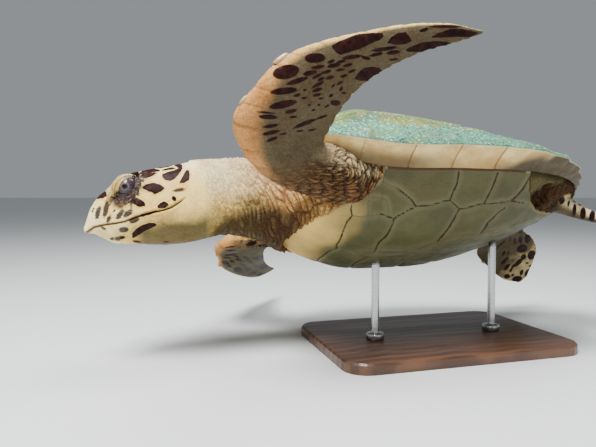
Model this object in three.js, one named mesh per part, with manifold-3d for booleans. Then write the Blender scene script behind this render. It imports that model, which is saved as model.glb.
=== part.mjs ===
// Hawksbill sea turtle, swimming, as a life-size still model on a plain display stand.
// Millimetres, +Z up, head toward -X, the turtle's left toward -Y. The row origin is the middle of
// the underside of the stand's base.
// The animal is drawn level in its own frame (shell middle at the origin, +Z its back) and then
// banked, pitched and lifted onto the stand as a whole.
import * as THREE from "three";
import { mergeVertices } from "three/addons/utils/BufferGeometryUtils.js";
import Module from "manifold-3d";

const wasm = await Module();
wasm.setup();

// ---- driving dimensions ----
const SHELL_LENGTH = 650;
const SHELL_WIDTH = 482;
const DOME_HEIGHT = 147;
const BELLY_DEPTH = 95;
const WIDEST_SHIFT = 25; // the widest place lies this far ahead of the middle
const SHELL_PLATE = 10; // thickness of the back shell
const BELLY_PLATE = 9; // thickness of the belly shell
const SEAM_AT = 0.81; // belly shell meets the edge plates at this part of the half width
const GAP = 0.3; // clearance between neighbouring pieces
const BANK = 22; // degrees, the left side up
const PITCH = 2.8; // degrees, the tail up
const LIFT = 262; // shell middle above the floor
const EYE_RADIUS = 17.5;
const EYE_AT = [110, 24, 39]; // along the head, out to the side, up
const BASE = { length: 440, width: 300, thickness: 18, corner: 40, chamfer: 3 };
const ROD = { radius: 7, collar: 16, collarHeight: 12, at: [[-120, -14], [120, -14]] };

// Height of the shell's rim, of the back over it and of the belly under it, along the shell's
// length: [part of the length, value].
const RIM = [[0, 80], [0.05, 68], [0.12, 46], [0.25, 14], [0.4, 1], [0.6, -9], [0.75, -10],
  [0.88, -4], [1, 8]];
const DOME = [[0, 0], [0.04, 0.19], [0.12, 0.56], [0.22, 0.94], [0.3, 1], [0.4, 0.905], [0.5, 0.775],
  [0.65, 0.555], [0.8, 0.288], [0.92, 0.1], [1, 0]];
const KEEL = [[0, 0.05], [0.03, 0.865], [0.08, 1.12], [0.2, 1.12], [0.35, 1.04], [0.5, 0.96],
  [0.65, 0.753], [0.8, 0.515], [0.92, 0.27], [1, 0.04]];
// Fullness of the belly from the rim to the middle line.
const BELLY = [[0, 0], [0.18, 0.17], [0.38, 0.65], [0.56, 0.94], [0.75, 1.01], [1, 1]];
// Joints between edge plates, as parts of the half turn from the nape to the tail.
const MARGINALS = [0.06, 0.145, 0.225, 0.3, 0.382, 0.453, 0.523, 0.608, 0.669, 0.738, 0.81, 0.885, 1];
// Right half of the belly shell's outline in plan, nape to tail.
const BELLY_PLAN = [[-297, 0], [-292, 30], [-282, 58], [-265, 86], [-240, 108], [-215, 128],
  [-190, 148], [-172, 168], [-172, 400], [66, 400], [72, 185], [84, 155], [100, 130], [124, 109],
  [160, 86], [195, 62], [222, 34], [232, 0]];

// Head: [from the nape forward, top, bottom, half width, squareness].
const HEAD = [[-40, 68, -52, 50, 2], [0, 70, -58, 51, 2.2], [40, 67, -59, 52, 2.4],
  [75, 65, -55, 48, 2.5], [100, 61, -50, 43, 2.4], [125, 50, -45, 35, 2.2], [145, 41, -39, 27, 2.1],
  [160, 30, -28, 19, 2], [172, 12, -20, 12, 2], [181, -8, -20, 6, 2]];
const HEAD_AT = [-426, -6, 20];
const HEAD_PITCH = 6;
const HEAD_ROLL = 10;
const ORBIT = { at: 108, up: 44, length: 24, height: 20, out: 7, rise: 5 };
// Line of the mouth, snout to jaw hinge: [forward, up].
const MOUTH = [[200, -20], [181, -19], [168, -13.4], [152, -14], [138, -15.6], [122, -16],
  [106, -12.4], [90, -11], [64, -10], [52, -8], [40, -3], [30, 2]];
const UPPER_HORN = [[200, 60], [168, 24], [150, 5], [120, 0], [98, -4], [98, -60], [200, -60]];
const LOWER_HORN = [[112, 0], [118, -22], [132, -36], [140, -60], [200, -60], [200, 0]];

// Neck and tail: [x, middle y, middle z, half width, half height, squareness].
const NECK = [[-440, -6, 32, 50, 63, 2], [-400, -6, 31, 52, 64, 2], [-350, -4, 27, 60, 66, 2.1],
  [-315, -2, 13, 78, 64, 2.2], [-285, 0, 2, 104, 64, 2.3], [-240, 0, -4, 140, 58, 2.4]];
const TAIL = [[150, 0, -4, 56, 34, 2.2], [205, 0, -4, 36, 22, 2], [245, 0, -10, 20, 13, 2],
  [275, 0, -18, 9, 7, 2], [298, 0, -24, 4, 4, 2]];

// Limbs: [leading edge point, trailing edge point, thickness, roundness of the section].
const FRONT_LEFT = [
  [[-214, -116, -34], [-167, -142, 24], 74, 1],
  [[-296, -150, -28], [-232, -170, 36], 66, 1],
  [[-368, -200, -10], [-266, -196, 32], 50, 0.8],
  [[-403, -249, 30], [-266, -227, 34], 36, 0.5],
  [[-380, -279, 62], [-253, -262, 51], 26, 0.25],
  [[-326, -307, 101], [-223, -294, 71], 19, 0.1],
  [[-216, -330, 121], [-160, -315, 95], 14, 0],
  [[-131, -336, 128], [-97, -324, 110], 10, 0],
  [[-66, -328, 125], [-62, -326, 122], 6, 0],
];
const FRONT_RIGHT = [
  [[-214, 112, -18], [-167, 138, 22], 60, 1],
  [[-290, 132, -8], [-230, 160, 26], 54, 1],
  [[-358, 158, 2], [-266, 178, 16], 44, 0.8],
  [[-384, 192, 0], [-271, 208, 4], 34, 0.5],
  [[-376, 226, -12], [-273, 250, 2], 26, 0.25],
  [[-364, 274, -20], [-265, 297, 3], 19, 0.1],
  [[-312, 372, -18], [-246, 380, 12], 14, 0],
  [[-258, 446, -8], [-222, 450, 18], 10, 0],
  [[-200, 508, 22], [-196, 508, 25], 6, 0],
];
const REAR_LEFT = [
  [[150, -104, -40], [176, -28, 0], 50, 1],
  [[232, -74, -52], [226, -10, -4], 38, 0.9],
  [[268, -80, -74], [272, -8, -28], 24, 0.5],
  [[310, -95, -98], [322, -18, -54], 16, 0.2],
  [[350, -100, -122], [354, -40, -86], 12, 0.1],
  [[372, -86, -128], [374, -66, -116], 6, 0.1],
];
const REAR_RIGHT = [
  [[150, 80, -40], [215, 58, -6], 50, 1],
  [[178, 136, -44], [262, 110, -12], 38, 0.9],
  [[205, 205, -58], [307, 157, -24], 22, 0.5],
  [[247, 233, -86], [345, 182, -38], 15, 0.2],
  [[285, 248, -112], [364, 208, -66], 11, 0.1],
  [[330, 252, -124], [350, 244, -112], 6, 0.1],
];
// Hollow in front of each hind limb, between the two shells.
const GROIN = { at: [122, 134, -50], half: [40, 26, 26] };
// Claws: [how far down the limb's leading edge, length, root radius].
const FRONT_CLAWS = [[4.75, 20, 6.5], [3.7, 13, 4.5]];
const REAR_CLAWS = [[2.55, 12, 4]];

// ---- curves ----
const radians = THREE.MathUtils.degToRad;

// Smooth curve through rows of [position, value, value, ...], clamped at both ends.
function along(rows, at) {
  const last = rows.length - 1;
  const t = Math.min(Math.max(at, rows[0][0]), rows[last][0]);
  let i = 0;
  while (i < last - 1 && rows[i + 1][0] <= t) i += 1;
  const slope = (k, column) => {
    const a = rows[Math.max(k - 1, 0)];
    const b = rows[Math.min(k + 1, last)];
    return (b[column] - a[column]) / (b[0] - a[0]);
  };
  const span = rows[i + 1][0] - rows[i][0];
  const u = (t - rows[i][0]) / span;
  return rows[i].slice(1).map((from, k) => {
    const to = rows[i + 1][k + 1];
    return (1 + 2 * u) * (1 - u) ** 2 * from + u * (1 - u) ** 2 * span * slope(i, k + 1)
      + u * u * (3 - 2 * u) * to + u * u * (u - 1) * span * slope(i + 1, k + 1);
  });
}

function smoothStep(from, to, x) {
  const t = Math.min(Math.max((x - from) / (to - from), 0), 1);
  return t * t * (3 - 2 * t);
}

function spread(from, to, count) {
  return Array.from({ length: count }, (_, i) => from + ((to - from) * i) / (count - 1));
}

function signedPower(value, power) {
  return Math.sign(value) * Math.abs(value) ** power;
}

// ---- solids ----
function toSolid(geometry) {
  const bare = geometry.clone();
  bare.deleteAttribute("normal");
  bare.deleteAttribute("uv");
  const merged = mergeVertices(bare, 1e-4);
  return new wasm.Manifold(new wasm.Mesh({
    numProp: 3,
    vertProperties: new Float32Array(merged.attributes.position.array),
    triVerts: new Uint32Array(merged.index.array),
  }));
}

function toGeometry(solid) {
  const mesh = solid.getMesh();
  const geometry = new THREE.BufferGeometry();
  geometry.setAttribute("position", new THREE.BufferAttribute(new Float32Array(mesh.vertProperties), 3));
  geometry.setIndex(new THREE.BufferAttribute(new Uint32Array(mesh.triVerts), 1));
  geometry.computeVertexNormals();
  return geometry;
}

function signedVolume(points, faces) {
  const v = (i) => new THREE.Vector3(...points[i]);
  return faces.reduce((sum, [a, b, c]) => sum + v(a).dot(v(b).cross(v(c))) / 6, 0);
}

// Closed skin over a row of rings that all have the same number of points.
function loft(rings) {
  const count = rings[0].length;
  const middle = (ring) => [0, 1, 2].map((k) => ring.reduce((s, p) => s + p[k], 0) / count);
  const points = [...rings.flat(), middle(rings[0]), middle(rings[rings.length - 1])];
  const faces = [];
  for (let i = 0; i < rings.length - 1; i += 1) {
    for (let j = 0; j < count; j += 1) {
      const a = i * count + j;
      const b = i * count + ((j + 1) % count);
      faces.push([a, b, b + count], [a, b + count, a + count]);
    }
  }
  const far = (rings.length - 1) * count;
  for (let j = 0; j < count; j += 1) {
    const next = (j + 1) % count;
    faces.push([points.length - 2, next, j], [points.length - 1, far + j, far + next]);
  }
  if (signedVolume(points, faces) < 0) faces.forEach((face) => face.reverse());
  const geometry = new THREE.BufferGeometry();
  geometry.setAttribute("position", new THREE.Float32BufferAttribute(points.flat(), 3));
  geometry.setIndex(faces.flat());
  return toSolid(geometry);
}

// Flat outline (two coordinates) pushed from one level to another along the third.
function prism(outline, from, to, toPoint) {
  const flat = new THREE.Shape(outline.map(([a, b]) => new THREE.Vector2(a, b)));
  const geometry = new THREE.ExtrudeGeometry(flat, { depth: to - from, bevelEnabled: false });
  const position = geometry.attributes.position;
  for (let i = 0; i < position.count; i += 1) {
    position.setXYZ(i, ...toPoint(position.getX(i), position.getY(i), position.getZ(i) + from));
  }
  const solid = toSolid(geometry);
  if (solid.volume() > 0) return solid;
  const index = geometry.attributes.position.count;
  geometry.setIndex(Array.from({ length: index }, (_, i) => index - 1 - i));
  return toSolid(geometry);
}

function largest(solid) {
  return solid.decompose().sort((a, b) => b.volume() - a.volume())[0];
}

// Ring across the x axis: middle, half width, half height, squareness.
function crossRing(x, cy, cz, half, high, power, count) {
  return Array.from({ length: count }, (_, i) => {
    const angle = (2 * Math.PI * i) / count;
    return [x, cy + signedPower(Math.cos(angle), 2 / power) * half,
      cz + signedPower(Math.sin(angle), 2 / power) * high];
  });
}

// ---- the shell ----
function outlineAt(turn, grow = 0) {
  const t = turn / Math.PI;
  const power = 0.6 + 1.32 * smoothStep(0.25, 0.9, t);
  const sine = Math.max(Math.sin(turn), 0);
  const x = -(SHELL_LENGTH / 2 + grow) * Math.cos(turn) - WIDEST_SHIFT * sine ** 2;
  return [x, (SHELL_WIDTH / 2) * sine ** power + grow];
}

function lengthPart(turn) {
  const [x] = outlineAt(turn);
  return (x + SHELL_LENGTH / 2) / SHELL_LENGTH;
}

function backHeight(turn, q) {
  const s = lengthPart(turn);
  return along(RIM, s)[0]
    + DOME_HEIGHT * along(DOME, s)[0] * Math.max(1 - Math.abs(q) ** 2.1, 0) ** 0.85;
}

function bellyHeight(turn, q) {
  const s = lengthPart(turn);
  return along(RIM, s)[0] - BELLY_DEPTH * along(KEEL, s)[0] * along(BELLY, 1 - Math.abs(q))[0];
}

// How far an edge plate's hind corner stands out past the smooth outline.
function toothAt(turn) {
  const t = turn / Math.PI;
  const i = MARGINALS.findIndex((edge) => edge > t + 1e-6);
  if (i < 1) return 0;
  const part = (t - MARGINALS[i - 1]) / (MARGINALS[i] - MARGINALS[i - 1]);
  const size = 7 * smoothStep(0.5, 0.75, t);
  return size * (part < 0.86 ? part / 0.86 : (1 - part) / 0.14);
}

function shellTurns() {
  const front = [0.012, 0.03, 0.06, 0.1, 0.145, 0.185, 0.225, 0.262, 0.3, 0.34, 0.382, 0.417, 0.453, 0.488];
  const teeth = [];
  for (let i = 6; i < MARGINALS.length - 1; i += 1) {
    teeth.push(MARGINALS[i], MARGINALS[i] + 0.86 * (MARGINALS[i + 1] - MARGINALS[i]));
  }
  return [...front, ...teeth, 0.993].map((t) => t * Math.PI);
}

const BACK_STEPS = [-1, -0.95, -0.84, -0.68, -0.5, -0.3, -0.1, 0.1, 0.3, 0.5, 0.68, 0.84, 0.95, 1];
const BELLY_STEPS = [0.92, SEAM_AT, 0.7, 0.58, 0.46, 0.3, 0, -0.3, -0.46, -0.58, -0.7, -SEAM_AT, -0.92];

// The whole outside of the shell, both halves, grown outward by a little when it is a cutter.
function wholeShell(grow = 0) {
  return loft(shellTurns().map((turn) => {
    const [x, half] = outlineAt(turn, grow);
    const back = BACK_STEPS.map((q) => {
      const edge = Math.abs(q) === 1 ? toothAt(turn) : 0;
      return [x, q * (half + edge), backHeight(turn, q) + (Math.abs(q) < 1 ? grow : 0)];
    });
    const belly = BELLY_STEPS.map((q) => [x, q * half, bellyHeight(turn, q) - grow]);
    return [...back, ...belly];
  }));
}

const INNER_TURNS = [0.07, 0.11, 0.17, 0.24, 0.31, 0.38, 0.46, 0.54, 0.62, 0.7, 0.79, 0.88]
  .map((t) => t * Math.PI);
const INNER_STEPS = [-0.78, -0.62, -0.42, -0.2, 0, 0.2, 0.42, 0.62, 0.78];

// Everything under the back shell's inner face; it runs on forward, where the neck comes out.
function underBack(shrink = 0) {
  const rings = INNER_TURNS.map((turn) => {
    const [x, half] = outlineAt(turn);
    const top = INNER_STEPS.map((q) => [x, q * half - Math.sign(q) * shrink,
      backHeight(turn, q) - SHELL_PLATE - shrink]);
    const side = top[0][1];
    return [...top, [x, -side, -300], [x, side, -300]];
  });
  const ahead = rings[0].map(([, y, z]) => [-420, y, z]);
  const behind = rings[rings.length - 1].map(([x, y, z]) => [x + 12, y * 0.7, Math.min(z, -2)]);
  return loft([ahead, ...rings, behind]);
}

// Everything over the belly shell's inner face.
function overBelly(shrink = 0) {
  const rings = INNER_TURNS.map((turn) => {
    const [x, half] = outlineAt(turn);
    const low = INNER_STEPS.map((q) => [x, q * half - Math.sign(q) * shrink,
      bellyHeight(turn, q) + BELLY_PLATE + shrink]);
    const side = low[0][1];
    return [...low, [x, -side, 300], [x, side, 300]];
  });
  const ahead = rings[0].map(([, y, z]) => [-420, y, z]);
  const behind = rings[rings.length - 1].map(([, y, z]) => [420, y, z]);
  return loft([ahead, ...rings, behind]);
}

// Everything below the joint between the belly shell and the edge plates.
function belowSeam(raise = 0) {
  const slab = (x, turn) => {
    const z = bellyHeight(turn, SEAM_AT) + raise;
    return [[x, -400, z], [x, 400, z], [x, 400, -400], [x, -400, -400]];
  };
  const turns = shellTurns();
  const rings = turns.map((turn) => slab(outlineAt(turn)[0], turn));
  return loft([slab(-600, turns[0]), ...rings, slab(600, turns[turns.length - 1])]);
}

function bellyPlan(grow = 0) {
  const centre = -30;
  const right = BELLY_PLAN.map(([x, y]) => [x + Math.sign(x - centre) * grow, y + (y > 0 ? grow : 0)]);
  const left = right.slice(1, -1).reverse().map(([x, y]) => [x, -y]);
  return prism([...right, ...left], -400, 400, (x, y, z) => [x, y, z]);
}

function groinHollow(side, grow = 0) {
  const [ax, ay, az] = GROIN.at;
  const [lx, ly, lz] = GROIN.half.map((half) => half + grow);
  return loft(spread(0.12, Math.PI - 0.12, 8).map((turn) => crossRing(ax - lx * Math.cos(turn),
    side * ay, az, ly * Math.sin(turn), lz * Math.sin(turn), 2, 12)));
}

const outside = wholeShell();
const outsideGrown = wholeShell(GAP);
const groins = groinHollow(-1).add(groinHollow(1));
// What the limbs and the tail are cut by: the shell with its two hollows open.
const bodyCutter = outsideGrown.subtract(groins);

function makeCarapace() {
  return largest(outside.subtract(belowSeam(GAP / 2)).subtract(underBack()));
}

function makePlastron() {
  return largest(outside.intersect(belowSeam(-GAP / 2)).intersect(bellyPlan()).subtract(overBelly()));
}

function makeTrunk() {
  const belly = belowSeam(GAP).intersect(bellyPlan(GAP)).subtract(overBelly(GAP));
  return largest(outside.intersect(underBack(GAP)).subtract(belly).subtract(groins));
}

// ---- neck, tail and limbs ----
function tube(rows, rings, count, grow = 0) {
  return loft(spread(rows[0][0], rows[rows.length - 1][0], rings).map((x) => {
    const [cy, cz, half, high, power] = along(rows, x);
    return crossRing(x, cy, cz, half + grow, high + grow, power, count);
  }));
}

function wingSection(u) {
  return 5 * (0.2969 * Math.sqrt(u) - 0.126 * u - 0.3516 * u ** 2 + 0.2843 * u ** 3 - 0.1015 * u ** 4);
}

function limbFrame(rows, at) {
  const table = rows.map(([lead, trail, thick, round], i) => [i, ...lead, ...trail, thick, round]);
  const point = (t) => {
    const v = along(table, t);
    return { lead: new THREE.Vector3(v[0], v[1], v[2]), trail: new THREE.Vector3(v[3], v[4], v[5]),
      thick: v[6], round: v[7] };
  };
  const here = point(at);
  const step = 0.1;
  const before = point(Math.max(at - step, 0));
  const after = point(Math.min(at + step, rows.length - 1));
  const chord = here.trail.clone().sub(here.lead);
  const run = after.lead.add(after.trail).sub(before.lead).sub(before.trail);
  const normal = run.clone().cross(chord).normalize();
  return { ...here, chord, run: run.normalize(), normal };
}

function limb(rows, rings, count) {
  return loft(spread(0, rows.length - 1, rings).map((at) => {
    const { lead, chord, thick, round, normal } = limbFrame(rows, at);
    return Array.from({ length: count }, (_, i) => {
      const angle = (2 * Math.PI * i) / count;
      const u = (1 - Math.cos(angle)) / 2;
      const swell = (round * Math.abs(Math.sin(angle))) / 2 + (1 - round) * wingSection(u);
      const half = Math.abs(Math.sin(angle)) > 0.01 ? Math.max(thick * swell, 1.2) : 0;
      return lead.clone().addScaledVector(chord, u)
        .addScaledVector(normal, half * Math.sign(Math.sin(angle))).toArray();
    });
  }));
}

// A curved claw on a limb's leading edge.
function claw(rows, [at, length, radius], grow = 0) {
  const { lead, chord, run, normal } = limbFrame(rows, at);
  const out = chord.clone().normalize().negate();
  const start = lead.clone().addScaledVector(out, -1.5).addScaledVector(run, -0.35 * length);
  return loft(spread(0, 1, 5).map((t) => {
    const centre = start.clone().addScaledVector(run, length * t)
      .addScaledVector(out, 0.14 * length * t);
    const size = radius * Math.sqrt(1 - t) * (0.75 + 0.25 * Math.min(1, 3 * t)) + 0.5 + grow;
    return Array.from({ length: 6 }, (_, i) => {
      const angle = (2 * Math.PI * i) / 6;
      return centre.clone().addScaledVector(out, size * Math.cos(angle))
        .addScaledVector(normal, 0.8 * size * Math.sin(angle)).toArray();
    });
  }));
}

// ---- the head ----
function headTurn() {
  const turn = new THREE.Matrix4().makeRotationX(radians(HEAD_ROLL));
  const nod = new THREE.Matrix4().makeRotationY(radians(-HEAD_PITCH));
  return new THREE.Matrix4().makeTranslation(...HEAD_AT).multiply(nod).multiply(turn);
}

function orbitSwell(a, y, h) {
  const near = Math.exp(-(((a - ORBIT.at) / ORBIT.length) ** 2 + ((h - ORBIT.up) / ORBIT.height) ** 2));
  const side = smoothStep(6, 22, Math.abs(y));
  return [y + Math.sign(y) * ORBIT.out * near * side, h + ORBIT.rise * near * side];
}

function wholeHead() {
  const stations = [-30, -10, 12, 34, 54, 70, 84, 96, 108, 120, 131, 141, 150, 158, 165, 172, 177, 181];
  return loft(stations.map((a) => {
    const [top, bottom, half, power] = along(HEAD, a);
    const ring = crossRing(-a, 0, (top + bottom) / 2, half, (top - bottom) / 2, power, 24);
    return ring.map(([x, y, h]) => [x, ...orbitSwell(a, y, h)]);
  }));
}

function sideCut(outline, wide = 90) {
  return prism(outline, -wide, wide, (a, h, y) => [-a, y, h]);
}

function jawCut(raise) {
  const line = MOUTH.map(([a, h]) => [a < 40 ? a - raise : a, h + raise]);
  return sideCut([...line, [24 - raise, -90], [200, -90]]);
}

function napeCut(forward, from) {
  return sideCut([[forward, -200], [forward, 200], [from, 200], [from, -200]], 200);
}

function eyeball(side, grow = 0) {
  const [a, y, h] = EYE_AT;
  const radius = EYE_RADIUS + grow;
  return loft(spread(0.25, Math.PI - 0.25, 7).map((turn) => crossRing(-a - radius * Math.cos(turn) * 1.03,
    side * y, h, radius * Math.sin(turn), radius * Math.sin(turn), 2, 12)));
}

function makeHeadPieces() {
  const whole = wholeHead().subtract(napeCut(GAP / 2, -100));
  const sockets = eyeball(-1, GAP).add(eyeball(1, GAP));
  const skull = whole.subtract(jawCut(GAP / 2)).subtract(sockets);
  const jaw = whole.intersect(jawCut(-GAP / 2));
  const upperHorn = sideCut(UPPER_HORN);
  const lowerHorn = sideCut(LOWER_HORN);
  const upperGrown = sideCut(UPPER_HORN.map(([a, h]) => [a < 190 ? a - GAP : a, h > 0 ? h + GAP : h]));
  const lowerGrown = sideCut(LOWER_HORN.map(([a, h]) => [a < 190 ? a - GAP : a, h]));
  return {
    head: largest(skull.subtract(upperGrown)),
    beak_upper: largest(skull.intersect(upperHorn)),
    lower_jaw: largest(jaw.subtract(lowerGrown)),
    beak_lower: largest(jaw.intersect(lowerHorn)),
    eye_left: eyeball(-1),
    eye_right: eyeball(1),
  };
}

// ---- the stand ----
function roundedOutline(length, width, corner) {
  const points = [];
  [[1, 1], [-1, 1], [-1, -1], [1, -1]].forEach(([sx, sy], quarter) => {
    spread(0, Math.PI / 2, 6).forEach((angle) => {
      const turn = angle + (quarter * Math.PI) / 2;
      points.push([sx * (length / 2 - corner) + corner * Math.cos(turn),
        sy * (width / 2 - corner) + corner * Math.sin(turn)]);
    });
  });
  return points;
}

function makeBase() {
  const { length, width, thickness, corner, chamfer } = BASE;
  const level = (inset, z) => roundedOutline(length - 2 * inset, width - 2 * inset, corner - inset)
    .map(([x, y]) => [x, y, z]);
  return loft([level(0, 0), level(0, thickness - chamfer), level(chamfer, thickness)]);
}

function makeRod([x, y]) {
  const ring = (radius, z) => Array.from({ length: 16 }, (_, i) => {
    const angle = (2 * Math.PI * i) / 16;
    return [x + radius * Math.cos(angle), y + radius * Math.sin(angle), z];
  });
  const floor = BASE.thickness + GAP;
  const top = floor + ROD.collarHeight;
  return loft([ring(ROD.collar, floor), ring(ROD.collar, top - 3), ring(ROD.collar - 3, top),
    ring(ROD.radius, top + 0.01), ring(ROD.radius, LIFT)]);
}

// ---- putting it together ----
function posture() {
  const bank = new THREE.Matrix4().makeRotationX(radians(-BANK));
  const pitch = new THREE.Matrix4().makeRotationY(radians(-PITCH));
  return new THREE.Matrix4().makeTranslation(0, 0, LIFT).multiply(pitch).multiply(bank);
}

function moved(solid, matrix) {
  return toSolid(toGeometry(solid).applyMatrix4(matrix));
}

const MATERIALS = {
  skin: { color: 0xb8ab8c, roughness: 0.7 },
  back_shell: { color: 0x5d7a52, roughness: 0.6 },
  belly_shell: { color: 0xc9b78a, roughness: 0.6 },
  horn: { color: 0xd8c789, roughness: 0.45 },
  eye: { color: 0x2b2622, roughness: 0.15 },
  claw: { color: 0xe6dcc4, roughness: 0.5 },
  stand_base: { color: 0x3a3a3c, roughness: 0.6 },
  stand_rod: { color: 0xb9bcc0, roughness: 0.35, metalness: 1 },
};

const turtle = new THREE.Group();
turtle.name = "hawksbill_turtle";

function addNode(name, solid, material) {
  const mesh = new THREE.Mesh(toGeometry(solid), new THREE.MeshStandardMaterial(MATERIALS[material]));
  mesh.name = name;
  turtle.add(mesh);
}

function addBody(name, solid, material) {
  addNode(name, moved(solid, posture()), material);
}

function addShell() {
  addBody("carapace", makeCarapace(), "back_shell");
  addBody("plastron", makePlastron(), "belly_shell");
  addBody("trunk", makeTrunk(), "skin");
}

function addHead() {
  const pieces = makeHeadPieces();
  const material = { beak_upper: "horn", beak_lower: "horn", eye_left: "eye", eye_right: "eye" };
  Object.entries(pieces).forEach(([name, solid]) => {
    addBody(name, moved(solid, headTurn()), material[name] || "skin");
  });
}

function addNeckAndTail() {
  const ahead = moved(napeCut(-GAP / 2, 300), headTurn());
  addBody("neck", largest(tube(NECK, 9, 20).subtract(ahead).subtract(outsideGrown)), "skin");
  addBody("tail", largest(tube(TAIL, 8, 10).subtract(bodyCutter)), "skin");
}

function addLimb(name, rows, rings, count, claws) {
  const cutter = tube(NECK, 9, 20, GAP);
  let flesh = limb(rows, rings, count).subtract(bodyCutter).subtract(cutter);
  claws.forEach((spec, i) => {
    flesh = flesh.subtract(claw(rows, spec, GAP));
    addBody(`claw_${name}_${i + 1}`, claw(rows, spec), "claw");
  });
  addBody(`flipper_${name}`, largest(flesh), "skin");
}

function addStand() {
  const above = moved(outsideGrown, posture());
  addNode("stand_base", makeBase(), "stand_base");
  const names = ["stand_rod_front", "stand_rod_rear"];
  names.forEach((name, i) => addNode(name, largest(makeRod(ROD.at[i]).subtract(above)), "stand_rod"));
}

addShell();
addHead();
addNeckAndTail();
addLimb("front_left", FRONT_LEFT, 21, 12, FRONT_CLAWS);
addLimb("front_right", FRONT_RIGHT, 21, 12, FRONT_CLAWS);
addLimb("rear_left", REAR_LEFT, 11, 12, REAR_CLAWS);
addLimb("rear_right", REAR_RIGHT, 11, 12, REAR_CLAWS);
addStand();

export default turtle;
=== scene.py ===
"""A life-size hawksbill sea turtle in mid stroke, banked on a plain display stand.

Turtle frame, in millimetres: x runs to the tail, y to the animal's right, z out of its back.
Head frame: a runs forward from the back of the skull, y to the right, h up.
to_row() turns the turtle frame into the row's own frame, in metres.
"""
import math

import bmesh
import bpy
import numpy as np
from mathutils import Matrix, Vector
from mathutils.kdtree import KDTree


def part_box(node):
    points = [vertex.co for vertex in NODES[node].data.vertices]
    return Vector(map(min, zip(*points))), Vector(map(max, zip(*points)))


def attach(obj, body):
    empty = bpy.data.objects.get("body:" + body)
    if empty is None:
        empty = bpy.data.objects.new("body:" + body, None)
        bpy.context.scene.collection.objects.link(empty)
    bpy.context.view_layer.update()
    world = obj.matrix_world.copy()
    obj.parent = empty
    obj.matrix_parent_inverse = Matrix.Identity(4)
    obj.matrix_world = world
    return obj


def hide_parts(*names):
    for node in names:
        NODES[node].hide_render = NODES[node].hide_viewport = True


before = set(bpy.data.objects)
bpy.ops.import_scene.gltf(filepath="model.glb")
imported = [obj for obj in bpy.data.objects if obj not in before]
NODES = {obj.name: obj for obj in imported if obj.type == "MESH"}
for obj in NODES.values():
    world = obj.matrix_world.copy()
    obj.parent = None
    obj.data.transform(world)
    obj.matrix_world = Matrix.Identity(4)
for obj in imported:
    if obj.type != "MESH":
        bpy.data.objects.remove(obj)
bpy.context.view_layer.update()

# ---- sizes, the same as the solids' ----
SHELL_LENGTH = 650
SHELL_WIDTH = 482
DOME_HEIGHT = 147
BELLY_DEPTH = 95
WIDEST_SHIFT = 25
SHELL_PLATE = 10
BELLY_PLATE = 9
SEAM_AT = 0.81
BANK = 22
PITCH = 2.8
LIFT = 262
EYE_RADIUS = 17.5
EYE_AT = (110, 24, 39)
BASE_TOP = 18
ROD_RADIUS, ROD_COLLAR, ROD_COLLAR_HEIGHT = 7, 16, 12
ROD_AT = ((-120, -14), (120, -14))
RIM = [[0, 80], [.05, 68], [.12, 46], [.25, 14], [.4, 1], [.6, -9], [.75, -10], [.88, -4], [1, 8]]
DOME = [[0, 0], [.04, .19], [.12, .56], [.22, .94], [.3, 1], [.4, .905], [.5, .775], [.65, .555],
        [.8, .288], [.92, .1], [1, 0]]
KEEL = [[0, .05], [.03, .865], [.08, 1.12], [.2, 1.12], [.35, 1.04], [.5, .96], [.65, .753],
        [.8, .515], [.92, .27], [1, .04]]
BELLY = [[0, 0], [.18, .17], [.38, .65], [.56, .94], [.75, 1.01], [1, 1]]
MARGINALS = (0.06, 0.145, 0.225, 0.3, 0.382, 0.453, 0.523, 0.608, 0.669, 0.738, 0.81, 0.885, 1)
BELLY_PLAN = [[-297, 0], [-292, 30], [-282, 58], [-265, 86], [-240, 108], [-215, 128], [-190, 148],
              [-172, 168], [-171, 400], [66, 400], [72, 185], [84, 155], [100, 130], [124, 109],
              [160, 86], [195, 62], [222, 34], [232, 0]]
HEAD = [[-40, 68, -52, 50, 2], [0, 70, -58, 51, 2.2], [40, 67, -59, 52, 2.4], [75, 65, -55, 48, 2.5],
        [100, 61, -50, 43, 2.4], [125, 50, -45, 35, 2.2], [145, 41, -39, 27, 2.1], [160, 30, -28, 19, 2],
        [172, 12, -20, 12, 2], [181, -8, -20, 6, 2]]
HEAD_AT = (-426, -6, 20)
HEAD_PITCH, HEAD_ROLL = 6, 10
ORBIT = {"at": 108, "up": 44, "length": 24, "height": 20, "out": 7, "rise": 5}
MOUTH = [[200, -20], [181, -19], [168, -13.4], [152, -14], [138, -15.6], [122, -16], [106, -12.4],
         [90, -11], [64, -10], [52, -8], [40, -3], [30, 2]]
UPPER_HORN = [[200, 60], [168, 24], [150, 5], [120, 0], [98, -4], [98, -60], [200, -60]]
LOWER_HORN = [[112, 0], [118, -22], [132, -36], [140, -60], [200, -60], [200, 0]]
NECK = [[-440, -6, 32, 50, 63, 2], [-400, -6, 31, 52, 64, 2], [-350, -4, 27, 60, 66, 2.1],
        [-315, -2, 13, 78, 64, 2.2], [-285, 0, 2, 104, 64, 2.3], [-240, 0, -4, 140, 58, 2.4]]
TAIL = [[150, 0, -4, 56, 34, 2.2], [205, 0, -4, 36, 22, 2], [245, 0, -10, 20, 13, 2],
        [275, 0, -18, 9, 7, 2], [298, 0, -24, 4, 4, 2]]
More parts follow.
